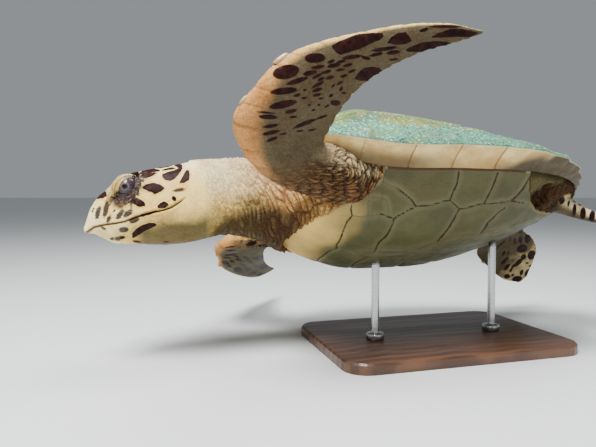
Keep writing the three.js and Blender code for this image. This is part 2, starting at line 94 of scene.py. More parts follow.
# leading edge point, trailing edge point, thickness, roundness
FRONT_LEFT = [
    [-214, -116, -34, -167, -142, 24, 74, 1], [-296, -150, -28, -232, -170, 36, 66, 1],
    [-368, -200, -10, -266, -196, 32, 50, .8], [-403, -249, 30, -266, -227, 34, 36, .5],
    [-380, -279, 62, -253, -262, 51, 26, .25], [-326, -307, 101, -223, -294, 71, 19, .1],
    [-216, -330, 121, -160, -315, 95, 14, 0], [-131, -336, 128, -97, -324, 110, 10, 0],
    [-66, -328, 125, -62, -326, 122, 6, 0]]
FRONT_RIGHT = [
    [-214, 112, -18, -167, 138, 22, 60, 1], [-290, 132, -8, -230, 160, 26, 54, 1],
    [-358, 158, 2, -266, 178, 16, 44, .8], [-384, 192, 0, -271, 208, 4, 34, .5],
    [-376, 226, -12, -273, 250, 2, 26, .25], [-364, 274, -20, -265, 297, 3, 19, .1],
    [-312, 372, -18, -246, 380, 12, 14, 0], [-258, 446, -8, -222, 450, 18, 10, 0],
    [-200, 508, 22, -196, 508, 25, 6, 0]]
REAR_LEFT = [
    [150, -104, -40, 176, -28, 0, 50, 1], [232, -74, -52, 226, -10, -4, 38, .9],
    [268, -80, -74, 272, -8, -28, 24, .5], [310, -95, -98, 322, -18, -54, 16, .2],
    [350, -100, -122, 354, -40, -86, 12, .1], [372, -86, -128, 374, -66, -116, 6, .1]]
REAR_RIGHT = [
    [150, 80, -40, 215, 58, -6, 50, 1], [178, 136, -44, 262, 110, -12, 38, .9],
    [205, 205, -58, 307, 157, -24, 22, .5], [247, 233, -86, 345, 182, -38, 15, .2],
    [285, 248, -112, 364, 208, -66, 11, .1], [330, 252, -124, 350, 244, -112, 6, .1]]
FRONT_CLAWS = [[4.75, 20, 6.5], [3.7, 13, 4.5]]  # place along the leading edge, length, root radius
REAR_CLAWS = [[2.55, 12, 4]]

# ---- the camera, which also places markings that were read off the photograph ----
IMAGE = (596, 447)
FIELD = 57  # degrees across
AZIMUTH, ELEVATION, DISTANCE = -16, 3, 950
TARGET = (-260, 0, 227)
# millimetres to a pixel at the head, the flippers, the left shoulder and the belly shell
HEAD_PIXEL, LIMB_PIXEL, SHOULDER_PIXEL, BELLY_PIXEL = 1.5, 1.45, 1.75, 1.8
RIM_RUN = 900  # about the rim's length from front to rear, for distances from its seams

VOXEL = 1.8  # skin mesh step before the head is refined


def profile(table, at):
    """Smooth curve through the rows of a table, at the given places in its first column."""
    rows = np.array(table, float)
    t, v = rows[:, 0], rows[:, 1:]
    slope = np.empty_like(v)
    slope[1:-1] = (v[2:] - v[:-2]) / (t[2:] - t[:-2])[:, None]
    slope[0] = (v[1] - v[0]) / (t[1] - t[0])
    slope[-1] = (v[-1] - v[-2]) / (t[-1] - t[-2])
    x = np.clip(np.asarray(at, float), t[0], t[-1])
    i = np.clip(np.searchsorted(t, x, side="right") - 1, 0, len(t) - 2)
    step = t[i + 1] - t[i]
    u = ((x - t[i]) / step)[..., None]
    step = step[..., None]
    out = ((1 + 2 * u) * (1 - u) ** 2 * v[i] + u * (1 - u) ** 2 * step * slope[i]
           + u * u * (3 - 2 * u) * v[i + 1] + u * u * (u - 1) * step * slope[i + 1])
    return out[..., 0] if v.shape[1] == 1 else out


def smooth(start, end, x):
    t = np.clip((x - start) / (end - start), 0, 1)
    return t * t * (3 - 2 * t)


def bell(x, width):
    return np.exp(-(x / width) ** 2)


def mix(a, b, part):
    return a * (1 - part) + b * part


def paint(a, b, part):
    """Blend of two colours, each one colour or one a point."""
    part = np.asarray(part, float).reshape(-1, 1)
    return a * (1 - part) + b * part


def paint_over(colour, *layers):
    """Colours painted over one another, each with the part it covers."""
    for new, part in layers:
        colour = paint(colour, new, part)
    return colour


def unit(v):
    return v / np.maximum(np.linalg.norm(v, axis=-1, keepdims=True), 1e-9)


def turned(axis, degrees):
    """Rotation matrix about x, y or z."""
    c, s = math.cos(math.radians(degrees)), math.sin(math.radians(degrees))
    return np.array({"x": [[1, 0, 0], [0, c, -s], [0, s, c]], "y": [[c, 0, s], [0, 1, 0], [-s, 0, c]],
                     "z": [[c, -s, 0], [s, c, 0], [0, 0, 1]]}[axis])


POSTURE = turned("y", -PITCH) @ turned("x", -BANK)
HEAD_TURN = turned("y", -HEAD_PITCH) @ turned("x", HEAD_ROLL)


def to_row(points):
    return (points @ POSTURE.T + (0, 0, LIFT)) / 1000


def from_row(points):
    return (points * 1000 - (0, 0, LIFT)) @ POSTURE


def head_out(points):
    """Head frame (a, y, h) to turtle frame."""
    return (points * (-1, 1, 1)) @ HEAD_TURN.T + HEAD_AT


def head_in(points):
    return ((points - HEAD_AT) @ HEAD_TURN) * (-1, 1, 1)


def left_side(p):
    """Head frame points, those on the right mirrored to the left."""
    return np.stack([p[:, 0], -np.abs(p[:, 1]), p[:, 2]], -1)


def camera_axes():
    az, el = math.radians(AZIMUTH), math.radians(ELEVATION)
    back = np.array([math.sin(az) * math.cos(el), -math.cos(az) * math.cos(el), math.sin(el)])
    right = np.array([math.cos(az), math.sin(az), 0])
    return right, np.cross(back, right), back, np.array(TARGET) + back * DISTANCE


CAM_RIGHT, CAM_UP, CAM_BACK, CAM_AT = camera_axes()
FOCAL = IMAGE[0] / 2 / math.tan(math.radians(FIELD) / 2)


def pixels(points):
    """Where turtle-frame points fall in the photograph."""
    d = to_row(points) * 1000 - CAM_AT
    depth = -(d @ CAM_BACK)
    return np.stack([IMAGE[0] / 2 + FOCAL * (d @ CAM_RIGHT) / depth,
                     IMAGE[1] / 2 - FOCAL * (d @ CAM_UP) / depth], -1)


def facing(points, normals):
    """1 where a turtle-frame surface looks at the camera, 0 where it is edge on."""
    d = unit(CAM_AT - to_row(points) * 1000)
    return np.einsum("ij,ij->i", d, normals @ POSTURE.T)


def pixel_ray(x, y):
    """Direction through a pixel, in the turtle frame, and the camera's place there."""
    d = CAM_RIGHT * (x - IMAGE[0] / 2) / FOCAL - CAM_UP * (y - IMAGE[1] / 2) / FOCAL - CAM_BACK
    return unit(d) @ POSTURE, from_row(CAM_AT / 1000)


def rgb(r, g, b):
    """Screen colour, 0 to 255, as a linear colour."""
    c = np.array([r, g, b]) / 255
    return np.where(c > 0.04045, ((c + 0.055) / 1.055) ** 2.4, c / 12.92)


# ---- cell and wave patterns on points ----
def scramble(*keys):
    """Repeatable numbers from 0 to 1 out of whole-number arrays."""
    n = np.zeros(keys[0].shape, np.uint64)
    for k, prime in zip(keys, (73856093, 19349663, 83492791, 2654435761)):
        n = n ^ (k.astype(np.int64).astype(np.uint64) * np.uint64(prime))
        n = (n ^ (n >> np.uint64(13))) * np.uint64(0x9E3779B97F4A7C15 & 0xFFFFFFFFFFFF)
        n = n ^ (n >> np.uint64(17))
    return (n & np.uint64(0xFFFFFF)).astype(float) / 0xFFFFFF


def cells(points, seed, jitter=0.85):
    """Nearest and second nearest scattered feature distance, and the nearest one's random number."""
    points = np.asarray(points, float)
    dims = points.shape[1]
    base = np.floor(points).astype(np.int64)
    first = np.full(len(points), 9.0)
    second = first.copy()
    who = np.zeros(len(points))
    offsets = np.stack(np.meshgrid(*[(-1, 0, 1)] * dims, indexing="ij"), -1).reshape(-1, dims)
    tag = np.full(len(points), seed)
    for off in offsets:
        cell = base + off
        keys = [cell[:, k] for k in range(dims)] + [tag]
        d = np.zeros(len(points))
        for k in range(dims):
            place = cell[:, k] + 0.5 + jitter * (scramble(*keys[:dims], tag + 11 * (k + 1)) - 0.5)
            d += (place - points[:, k]) ** 2
        d = np.sqrt(d)
        closer = d < first
        second = np.where(closer, first, np.minimum(second, d))
        who = np.where(closer, scramble(*keys[:dims], tag + 97), who)
        first = np.where(closer, d, first)
    return first, second, who


def cracks(points, seed):
    """0 on the border between two cells, growing inwards."""
    first, second, _ = cells(points, seed)
    return second - first


def waves(points, size, seed, octaves=2):
    """Soft random field of about -1 to 1 with features of the given size."""
    total = np.zeros(len(points))
    for o in range(octaves):
        p = points / size * 2 ** o
        base = np.floor(p).astype(np.int64)
        f = p - base
        f = f * f * (3 - 2 * f)
        value = np.zeros(len(points))
        dims = p.shape[1]
        tag = np.full(len(points), seed + 31 * o)
        for corner in range(2 ** dims):
            bits = [(corner >> k) & 1 for k in range(dims)]
            w = np.ones(len(points))
            for k, bit in enumerate(bits):
                w = w * (f[:, k] if bit else 1 - f[:, k])
            value += w * scramble(*[base[:, k] + bit for k, bit in enumerate(bits)], tag)
        total += (value * 2 - 1) * 0.5 ** o
    return total


def segment_distance(points, starts, ends):
    """Distance from points to the nearest of some straight lines."""
    near = np.full(len(points), 1e9)
    for (x0, y0), (x1, y1) in zip(starts, ends):
        ex, ey = x1 - x0, y1 - y0
        px, py = points[:, 0] - x0, points[:, 1] - y0
        t = np.clip((px * ex + py * ey) / (ex * ex + ey * ey), 0, 1)
        near = np.minimum(near, (px - t * ex) ** 2 + (py - t * ey) ** 2)
    return np.sqrt(near)


def wander(points, size, *seeds):
    """A random shift of each point, one wave field for each direction."""
    return np.stack([waves(points, size, seed) for seed in seeds], -1)


def polygon_depth(points, corners):
    """How far points lie inside a closed outline, negative outside."""
    c = np.array(corners, float)
    ends = np.roll(c, -1, 0)
    inside = np.zeros(len(points), bool)
    for (x0, y0), (x1, y1) in zip(c, ends):
        crosses = (y0 > points[:, 1]) != (y1 > points[:, 1])
        inside ^= crosses & (points[:, 0] < (x1 - x0) * (points[:, 1] - y0) / ((y1 - y0) or 1e-9) + x0)
    return np.where(inside, 1, -1) * segment_distance(points, c, ends)


def line_distance(points, line):
    c = np.array(line, float)
    return segment_distance(points, c[:-1], c[1:])


def spots_depth(points, spots):
    """Depth inside the nearest of many ellipses: x, y, half length, half width, degrees rising right."""
    best = np.full(len(points), -99.0)
    for x, y, length, width, tilt in spots:
        c, s = math.cos(math.radians(tilt)), math.sin(math.radians(tilt))
        dx, dy = points[:, 0] - x, points[:, 1] - y
        along, across = dx * c - dy * s, dx * s + dy * c
        r = np.sqrt((along / length) ** 2 + (across / width) ** 2)
        best = np.maximum(best, (1 - r) * width)
    return best


def markings(spot, ovals, patches, pixel):
    """Depth in millimetres inside ellipses and outlines given in pixels."""
    depth = spots_depth(spot, ovals) * pixel
    for corners in patches.values():
        depth = np.maximum(depth, polygon_depth(spot, corners) * pixel)
    return depth


# ---- meshes ----
def ring_faces(rows, count):
    i, j = np.meshgrid(np.arange(rows - 1), np.arange(count), indexing="ij")
    a, b = i * count + j, i * count + (j + 1) % count
    return np.stack([a, b, b + count, a + count], -1).reshape(-1, 4)


def orient(points, quads, fans):
    """A closed mesh's faces, turned outwards."""
    p = points[quads]
    volume = np.einsum("ij,ij->i", p.mean(1), np.cross(p[:, 2] - p[:, 0], p[:, 3] - p[:, 1])).sum()
    return (quads[:, ::-1], fans[:, ::-1]) if volume < 0 else (quads, fans)


def closed_loft(rings):
    """Closed rings (rows, count, 3) as points, four-sided faces and two end fans."""
    rows, count, _ = rings.shape
    points = np.concatenate([rings.reshape(-1, 3), rings[0].mean(0)[None], rings[-1].mean(0)[None]])
    quads = ring_faces(rows, count)
    j = np.arange(count)
    k = (j + 1) % count
    first, last = rows * count, (rows - 1) * count
    fans = np.concatenate([np.stack([np.full(count, first), k, j], -1),
                           np.stack([np.full(count, first + 1), last + j, last + k], -1)])
    return points, *orient(points, quads, fans)


def make_object(name, points, quads, fans=None, smooth_shade=True):
    mesh = bpy.data.meshes.new(name)
    fans = np.zeros((0, 3), int) if fans is None else fans
    corners = np.concatenate([quads.ravel(), fans.ravel()]).astype(np.int32)
    sizes = np.concatenate([np.full(len(quads), 4), np.full(len(fans), 3)])
    starts = np.concatenate([[0], np.cumsum(sizes)[:-1]]).astype(np.int32)
    mesh.vertices.add(len(points))
    mesh.vertices.foreach_set("co", np.ascontiguousarray(points, np.float32).ravel())
    mesh.loops.add(len(corners))
    mesh.loops.foreach_set("vertex_index", corners)
    mesh.polygons.add(len(sizes))
    mesh.polygons.foreach_set("loop_start", starts)
    mesh.polygons.foreach_set("use_smooth", np.full(len(sizes), smooth_shade))
    mesh.update(calc_edges=True)
    obj = bpy.data.objects.new(name, mesh)
    bpy.context.scene.collection.objects.link(obj)
    return obj


def read(collection, key, width, kind):
    values = np.zeros(len(collection) * width, kind)
    collection.foreach_get(key, values)
    return values.reshape(-1, width)


def coordinates(mesh):
    return read(mesh.vertices, "co", 3, np.float32).astype(float)


def triangles(mesh):
    mesh.calc_loop_triangles()
    return read(mesh.loop_triangles, "vertices", 3, np.int32)


def edge_pairs(mesh):
    return read(mesh.edges, "vertices", 2, np.int32)


def point_normals(points, tris):
    n = np.cross(points[tris[:, 1]] - points[tris[:, 0]], points[tris[:, 2]] - points[tris[:, 0]])
    out = np.stack([np.bincount(tris.ravel(), np.repeat(n[:, k], 3), len(points)) for k in range(3)], -1)
    return unit(out)


def loft_normals(points, quads, fans):
    return point_normals(points, np.concatenate([quads[:, :3], quads[:, [0, 2, 3]], fans]))


def relaxed(points, edges, weight, rounds, keep_volume=False):
    """Points moved towards the mean of their neighbours, by weight, in rounds."""
    a, b = edges[:, 0], edges[:, 1]
    degree = np.maximum(np.bincount(np.concatenate([a, b]), minlength=len(points)), 1)
    points = points.copy()
    for r in range(rounds * (2 if keep_volume else 1)):
        gain = -1.04 if keep_volume and r % 2 else 1.0
        for k in range(3):
            total = np.bincount(a, points[b, k], len(points)) + np.bincount(b, points[a, k], len(points))
            points[:, k] += gain * weight * (total / degree - points[:, k]) * 0.5
    return points


def set_floats(mesh, **fields):
    for name, values in fields.items():
        attribute = mesh.attributes.new(name, "FLOAT", "POINT")
        attribute.data.foreach_set("value", np.ascontiguousarray(values, np.float32))


def set_tint(mesh, colours):
    attribute = mesh.attributes.new("tint", "FLOAT_COLOR", "POINT")
    full = np.ones((len(colours), 4), np.float32)
    full[:, :3] = colours
    attribute.data.foreach_set("color", full.ravel())


def finish_piece(obj, material, slot, *nodes):
    obj.data.materials.append(material)
    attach(obj, "root")
    if nodes:
        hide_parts(*nodes)
    return obj


# ---- shader building ----
class Look:
    """A node material with short helpers; every helper returns an output socket."""

    def __init__(self, name, **principled):
        self.material = bpy.data.materials.new(name)
        self.material.use_nodes = True
        self.tree = self.material.node_tree
        self.shader = self.tree.nodes["Principled BSDF"]
        for key, value in principled.items():
            self.shader.inputs[key.replace("_", " ")].default_value = value
        self.place = self.tree.nodes.new("ShaderNodeTexCoord").outputs["Object"]

    def plug(self, socket, value):
        if isinstance(value, bpy.types.NodeSocket):
            self.tree.links.new(value, socket)
        elif hasattr(socket.default_value, "__len__"):
            value = tuple(value)
            socket.default_value = value + (1,) * (len(socket.default_value) - len(value))
        else:
            socket.default_value = value

    def field(self, name, colour=False):
        node = self.tree.nodes.new("ShaderNodeAttribute")
        node.attribute_name = name
        return node.outputs["Color" if colour else "Fac"]

    def calc(self, operation, a, b=0.0, clamp=False):
        node = self.tree.nodes.new("ShaderNodeMath")
        node.operation, node.use_clamp = operation, clamp
        self.plug(node.inputs[0], a)
        self.plug(node.inputs[1], b)
        return node.outputs[0]

    def step(self, value, low, high, out_low=0.0, out_high=1.0):
        node = self.tree.nodes.new("ShaderNodeMapRange")
        node.interpolation_type = "SMOOTHSTEP"
        self.plug(node.inputs["Value"], value)
        for key, number in (("From Min", low), ("From Max", high), ("To Min", out_low), ("To Max", out_high)):
            self.plug(node.inputs[key], number)
        return node.outputs["Result"]

    def noise(self, size, detail=3.0, rough=0.55, stretch=None, vector=None):
        """Noise whose features are about size millimetres across."""
        node = self.tree.nodes.new("ShaderNodeTexNoise")
        source = vector or self.place
        if stretch:
            source = self.stretch(source, stretch)
        self.plug(node.inputs["Vector"], source)
        self.plug(node.inputs["Scale"], 1000.0 / size)
        self.plug(node.inputs["Detail"], detail)
        self.plug(node.inputs["Roughness"], rough)
        return node.outputs["Fac"]

    def stretch(self, source, scale):
        node = self.tree.nodes.new("ShaderNodeMapping")
        self.plug(node.inputs["Vector"], source)
        node.inputs["Scale"].default_value = scale
        return node.outputs["Vector"]

    def grains(self, size, feature="F1", output="Distance", vector=None):
        node = self.tree.nodes.new("ShaderNodeTexVoronoi")
        node.feature = feature
        self.plug(node.inputs["Vector"], vector or self.place)
        self.plug(node.inputs["Scale"], 1000.0 / size)
        return node.outputs[output]

    def blend(self, part, a, b, mode="MIX"):
        node = self.tree.nodes.new("ShaderNodeMix")
        node.data_type, node.blend_type = "RGBA", mode
        self.plug(node.inputs["Factor"], part)
        self.plug(node.inputs[6], a)
        self.plug(node.inputs[7], b)
        return node.outputs[2]

    def layers(self, colour, *rows):
        """Colours laid over one another: how much, that value's steps or None, the colour, the mode."""
        for part, steps, new, *mode in rows:
            part = self.step(part, *steps) if steps else part
            colour = self.blend(part, colour, rgb(*new) if isinstance(new, tuple) else new, *mode)
        return colour

    def bump(self, height, depth, strength=1.0, normal=None):
        """Bump whose full height is depth millimetres."""
        node = self.tree.nodes.new("ShaderNodeBump")
        self.plug(node.inputs["Height"], height)
        node.inputs["Distance"].default_value = depth / 1000
        node.inputs["Strength"].default_value = strength
        if normal:
            self.plug(node.inputs["Normal"], normal)
        return node.outputs["Normal"]

    def finish(self, colour=None, roughness=None, normal=None):
        for key, value in (("Base Color", colour), ("Roughness", roughness), ("Normal", normal)):
            if value is not None:
                self.plug(self.shader.inputs[key], value)
        return self.material


# ---- the shell's surfaces ----
def outline_at(turn):
    t = turn / math.pi
    power = 0.6 + 1.32 * smooth(0.25, 0.9, t)
    side = np.clip(np.sin(turn), 0, 1)
    return -SHELL_LENGTH / 2 * np.cos(turn) - WIDEST_SHIFT * side ** 2, SHELL_WIDTH / 2 * side ** power


def back_height(x, q):
    s = (x + SHELL_LENGTH / 2) / SHELL_LENGTH
    return profile(RIM, s) + DOME_HEIGHT * profile(DOME, s) * (1 - np.abs(q) ** 2.1) ** 0.85


def belly_height(x, q):
    s = (x + SHELL_LENGTH / 2) / SHELL_LENGTH
    return profile(RIM, s) - BELLY_DEPTH * profile(KEEL, s) * profile(BELLY, 1 - np.abs(q))


TURN_TABLE = np.linspace(0, math.pi, 721)
X_TABLE, WIDTH_TABLE = outline_at(TURN_TABLE)


def half_width(x):
    return np.maximum(np.interp(x, X_TABLE, WIDTH_TABLE), 1e-3)


def turn_of(x):
    return np.interp(x, X_TABLE, TURN_TABLE)


def tooth_at(turn):
    """How far the rear edge plates' points stand out."""
    t = turn / math.pi
    edges = np.array((0,) + MARGINALS)
    i = np.clip(np.searchsorted(edges, t, side="right") - 1, 0, len(edges) - 2)
    part = (t - edges[i]) / (edges[i + 1] - edges[i])
    return 7 * smooth(0.5, 0.75, t) * np.where(part < 0.86, part / 0.86, (1 - part) / 0.14)


# ---- head, neck, tail and limbs as lofts ----
def cross_ring(cy, cz, half, high, power, angles):
    c, s = np.cos(angles), np.sin(angles)
    return (cy + np.sign(c) * np.abs(c) ** (2 / power) * half,
            cz + np.sign(s) * np.abs(s) ** (2 / power) * high)


def orbit_swell(a, y, h):
    near = np.exp(-((a - ORBIT["at"]) / ORBIT["length"]) ** 2 - ((h - ORBIT["up"]) / ORBIT["height"]) ** 2)
    side = smooth(6, 22, np.abs(y))
    return np.sign(y) * ORBIT["out"] * near * side, ORBIT["rise"] * near * side


def head_surface(a, angles):
    """Head frame points of the head at stations a, for each angle."""
    top, bottom, half, power = np.moveaxis(profile(HEAD, a), -1, 0)
    y, h = cross_ring(0, ((top + bottom) / 2)[:, None], half[:, None], ((top - bottom) / 2)[:, None],
                      power[:, None], angles[None])
    a = np.broadcast_to(np.asarray(a, float)[:, None], y.shape)
    out, rise = orbit_swell(a, y, h)
    return np.stack([a, y + out, h + rise], -1)


def circle(count):
    return np.linspace(0, 2 * math.pi, count, endpoint=False)


def tube(rows, count_along, count_round):
    x = np.linspace(rows[0][0], rows[-1][0], count_along)
    cy, cz, half, high, power = np.moveaxis(profile(rows, x), -1, 0)[..., None]
    y, z = cross_ring(cy, cz, half, high, power, circle(count_round)[None])
    return closed_loft(np.stack([np.broadcast_to(x[:, None], y.shape), y, z], -1))


def wing_section(u):
    return 5 * (0.2969 * np.sqrt(u) - 0.126 * u - 0.3516 * u ** 2 + 0.2843 * u ** 3 - 0.1015 * u ** 4)


def limb_grid(rows, count_along, count_round):
    t = np.linspace(0, len(rows) - 1, count_along)
    v = profile([[i, *r] for i, r in enumerate(rows)], t)
    lead, trail, thick, full = v[:, 0:3], v[:, 3:6], v[:, 6], v[:, 7]
    run = np.gradient((lead + trail) / 2, axis=0)
    chord = trail - lead
    normal = unit(np.cross(run, chord))
    angle = circle(count_round)
    u = (1 - np.cos(angle)) / 2
    section = full[:, None] * np.abs(np.sin(angle)) / 2 + (1 - full[:, None]) * wing_section(u)
    height = np.maximum(thick[:, None] * section, np.where(np.abs(np.sin(angle)) > 0.01, 1.2, 0))
    rings = lead[:, None] + chord[:, None] * u[None, :, None]
    return rings + normal[:, None] * (height * np.sign(np.sin(angle)))[..., None]


LIMBS = {"front_left": FRONT_LEFT, "front_right": FRONT_RIGHT, "rear_left": REAR_LEFT,
         "rear_right": REAR_RIGHT}
LIMB_STEPS = (180, 72)
LIMB_GRIDS = {name: limb_grid(rows, *LIMB_STEPS) for name, rows in LIMBS.items()}


def limb_places(name, points, reach=9.0):
    """For points on a limb: row along it, angle round it, distance off it, distance along and chord, in mm."""
    grid = LIMB_GRIDS[name]
    rows, count = grid.shape[:2]
    flat = grid.reshape(-1, 3)
    low, high = flat.min(0) - reach, flat.max(0) + reach
    near = np.flatnonzero(((points > low) & (points < high)).all(1))
    tree = KDTree(len(flat))
    for k, p in enumerate(flat):
        tree.insert(p, k)
    tree.balance()
    found = np.array([tree.find(p)[1:] for p in points[near]])
    index, gap = found[:, 0].astype(int), found[:, 1]
    near, index, gap = near[gap < reach], index[gap < reach], gap[gap < reach]
    i, j = index // count, index % count
    before, after = np.maximum(i - 1, 0), np.minimum(i + 1, rows - 1)
    along = (grid[after, j] - grid[before, j]) / (after - before)[:, None]
    round_ = (grid[i, (j + 1) % count] - grid[i, (j - 1) % count]) / 2
    d = points[near] - grid[i, j]
    di = np.clip(np.einsum("ij,ij->i", d, along) / np.einsum("ij,ij->i", along, along), -0.6, 0.6)
    dj = np.clip(np.einsum("ij,ij->i", d, round_) / np.einsum("ij,ij->i", round_, round_), -0.6, 0.6)
    middle = grid.mean(1)
    length = np.concatenate([[0], np.cumsum(np.linalg.norm(np.diff(middle, axis=0), axis=1))])
    chord = np.linalg.norm(grid[:, count // 2] - grid[:, 0], axis=1)
    row = np.clip(i + di, 0, rows - 1)
    return {"index": near, "row": row / (rows - 1) * (len(LIMBS[name]) - 1),
            "angle": 2 * math.pi * (j + dj) / count, "gap": gap,
            "length": np.interp(row, np.arange(rows), length),
            "chord": np.interp(row, np.arange(rows), chord)}


# ---- markings, by place in the photograph (pixels) ----
HEAD_PATCHES = {
    "temple_top": [(143, 178), (144, 175), (149, 173), (154, 172), (157, 173), (153, 176), (147, 178.5)],
    "temple": [(142, 185), (146, 183), (153, 182.5), (160, 184), (165, 188), (162, 191), (158, 193),
               (155, 194.5), (151, 192), (147, 192), (142.5, 190), (141, 188)],
    "crown_side": [(162, 174), (167, 172), (174, 170), (181, 167), (183, 168), (180, 173), (175, 179),
                   (170, 181), (165, 180), (162, 177)],
    "nape": [(186, 170), (189, 170), (190, 175), (189, 180), (184, 183), (179, 183), (182, 177)],
    "cheek": [(130, 201), (134, 198), (137, 197), (142, 199), (145, 203), (145.5, 206), (141, 207),
              (136, 206.5), (131, 203)],
    "cheek_rear": [(157, 206), (160, 203), (164, 201), (168, 203), (169, 205), (165, 208), (158, 208.5)],
    "jaw": [(132, 238), (132, 233), (137, 228), (143, 224.5), (150, 222.5), (155, 223), (157, 225),
            (152, 228), (145, 231), (139, 235), (134, 238)],
    "gape": [(138, 217.4), (140, 214.6), (148, 212.7), (156, 210.4), (159, 210.9), (151, 214.4), (143, 216.8)],
    "snout": [(94, 199.5), (98, 195), (103, 191.6), (107.5, 191), (107.5, 196), (103, 198.4), (98, 199)],
}
# outlines: the lit upper side of the left shoulder, where highlights are painted, and the flesh under the rear
# rim plates, where shade is painted
SHOULDER_LIGHT = [(312, 158), (318, 139), (345, 140), (366, 152), (378, 174), (368, 176), (350, 166),
                  (330, 164)]
SHELF = [(524, 166), (575, 174), (562, 183), (546, 184), (535, 192), (527, 203), (520, 190)]
# x, y, half length, half width, degrees rising to the right
HEAD_SPOTS = [(174, 198.5, 2.9, 2.2, -60), (120.5, 237.8, 5, 1.9, 8), (213, 170, 2.4, 1.9, 40),
              (137, 241.6, 4.6, 1.3, -8), (166, 242, 3, .9, 0), (275, 183, 1.7, 1.4, 0), (277, 196, 2, 1.3, 40),
              (290, 200, 1.6, 1.2, 0), (283, 190, 1.2, .9, 0)]
# the bulge of the lids round the eye
LIDS = [(107.2, 190), (111, 181.7), (116.7, 176.7), (123.9, 174.2), (130.6, 173.9), (136.5, 176),
        (140.5, 180), (140, 187), (137.3, 194), (131, 199.6), (127, 203.5), (120, 206.4), (114, 205),
        (109.4, 200.6), (107.3, 195)]
FAINT_SPOTS = [(98.3, 212.3, 6, 2.2, 74), (106, 209, 8, 2.4, 80), (108.8, 218.8, 3, 1.7, 60),
               (120.3, 214.3, 5.4, 2.4, 55), (128, 213.3, 5.2, 2.6, 35), (124, 229.5, 4.4, 2.6, -5),
               (179, 190, 5.6, 1.6, 10), (103.5, 228, 3, 1, -40), (134.5, 220, 5, 2.6, 25),
               (114.4, 210.6, 1.3, .8, 60), (93.4, 210, 1.6, .6, 70), (112, 238.6, 2, 1.2, 0)]
FLIPPER_PATCHES = {
    "long": [(331, 46), (340, 41), (350, 37), (358, 34), (370, 33), (382, 33), (384, 36), (380, 40),
             (372, 43), (360, 49), (350, 52), (340, 55), (335, 51)],
    "third": [(387, 43), (391, 37), (398, 33), (406, 32), (409, 36), (412, 41), (406, 44), (396, 45)],
    "tip": [(430, 38), (438, 33), (450, 29), (462, 29), (472, 31), (479, 33), (470, 37), (455, 37)],
    "tip_rear": [(405, 50), (412, 46), (422, 42.5), (435, 41), (448, 42), (454, 45), (449, 48.5),
                 (435, 50.5), (418, 52), (408, 52)],
    "trailing": [(354, 79), (358, 73), (364, 68), (372, 66.5), (380, 68), (383, 72), (378, 77),
                 (370, 81), (360, 81)],
}
FLIPPER_SPOTS = [
    (286, 72, 13.5, 7, 12), (315, 58, 10.5, 5, 2), (445, 26.5, 17, 1.6, 0), (424, 30, 5, 1.8, 15),
    (384, 49, 14, 2, 8), (393, 52.5, 7, 2.2, 8), (376, 54.5, 7, 1.8, 12), (352, 57, 10, 2.2, 8),
    (366, 58, 5, 1.8, -15), (394, 59.5, 5, 1.3, 5), (370, 84, 8, 2, 12), (297, 81, 11.5, 2.6, 18),
    (284, 91, 14, 3.4, 6), (283, 104.5, 14, 3.8, 12), (291, 111.5, 6, 2, 15), (268, 117, 9.5, 2.4, -3),
    (271, 126, 8, 2, 8), (271, 132.8, 9, 2, 12), (272, 139.3, 6, 1.7, 22), (266, 112.5, 9, 1.1, -5),
    (305, 123.5, 12.5, 2.2, 22), (293, 117, 4, 1.3, 3), (297, 95.3, 3.8, 1.6, 18), (304, 98, 2.8, 1.4, 10),
    (305, 90, 2, 1.2, 10), (318, 84.5, 7, 1.7, 28), (317, 90, 5.5, 1.8, 15), (317, 95, 4.5, 1.6, 12),
    (321, 98.5, 2.5, 1.3, 15), (335.5, 102.8, 5.3, 3, -5), (331, 95.5, 2.6, 1.6, 30), (341, 89, 2.8, 1.6, 62),
    (343.5, 93, 3, 1.2, -5), (318, 67, 7, 2, 8), (310, 73, 7.5, 2.4, 12), (317, 76, 5, 1.8, 28),
    (321, 79, 4, 1.6, 25), (330, 77.5, 4.5, 1.8, 18), (334, 65.5, 7, 2.2, 10), (331, 61.5, 4, 1.7, 20),
    (341, 61.5, 5, 1.5, 12), (348, 65, 5, 1.7, 15), (326, 72, 6, 1.6, 18), (344, 76, 4, 1.6, 15),
    (309, 105, 2, 1.2, 10), (313.5, 110, 2.2, 1.2, 10), (319, 105, 1.6, 1, 0), (283, 134, 4, 1.2, 10),
    (300, 131, 4, 1, 5), (340, 70, 5, 1.5, 10), (352, 71, 4, 1.4, 20), (333, 86, 2.6, 1.1, 55),
    (327, 106, 3, 1.2, 30), (322, 117, 6, 1.3, 18), (312, 130, 5, 1.1, 12), (340, 83, 4, 1.2, 30)]
FAR_FRONT_SPOTS = [
    (215, 239.5, 3.6, 1.4, -62), (220, 235.2, 1.6, 1, 0), (251.5, 243.5, 5.6, 2, 14), (260, 245.4, 1.6, 1.1, 0),
    (255.5, 237.6, 2.2, 1.4, -30), (230.5, 246.8, 6, .8, 8), (231, 250.5, 5, .7, 5), (230, 254.8, 6.5, 1.1, 5),
    (227, 257.8, 4.5, 1, -8), (225.3, 262.7, 4, 2, -15), (232, 261.5, 3, 1.5, -20), (236.5, 256.5, 3, 1, -20),
    (239, 260, 3.5, 1.5, -15), (238.5, 270.5, 5.5, 3, -25), (247.5, 268.8, 4, 1.9, -5), (243, 265, 3, 1.2, -20),
    (250.5, 262, 3.5, 1.5, -20), (246, 258, 3.5, 1.3, -20), (260, 257.8, 5.5, 2.3, 8), (264, 266.5, 7, 2.6, 0),
    (252, 273.5, 4.5, 2, 15), (262, 274.5, 6.5, 2, 5), (256, 266.5, 2.5, 1.5, -10), (229.5, 266, 3, 1.3, -25)]
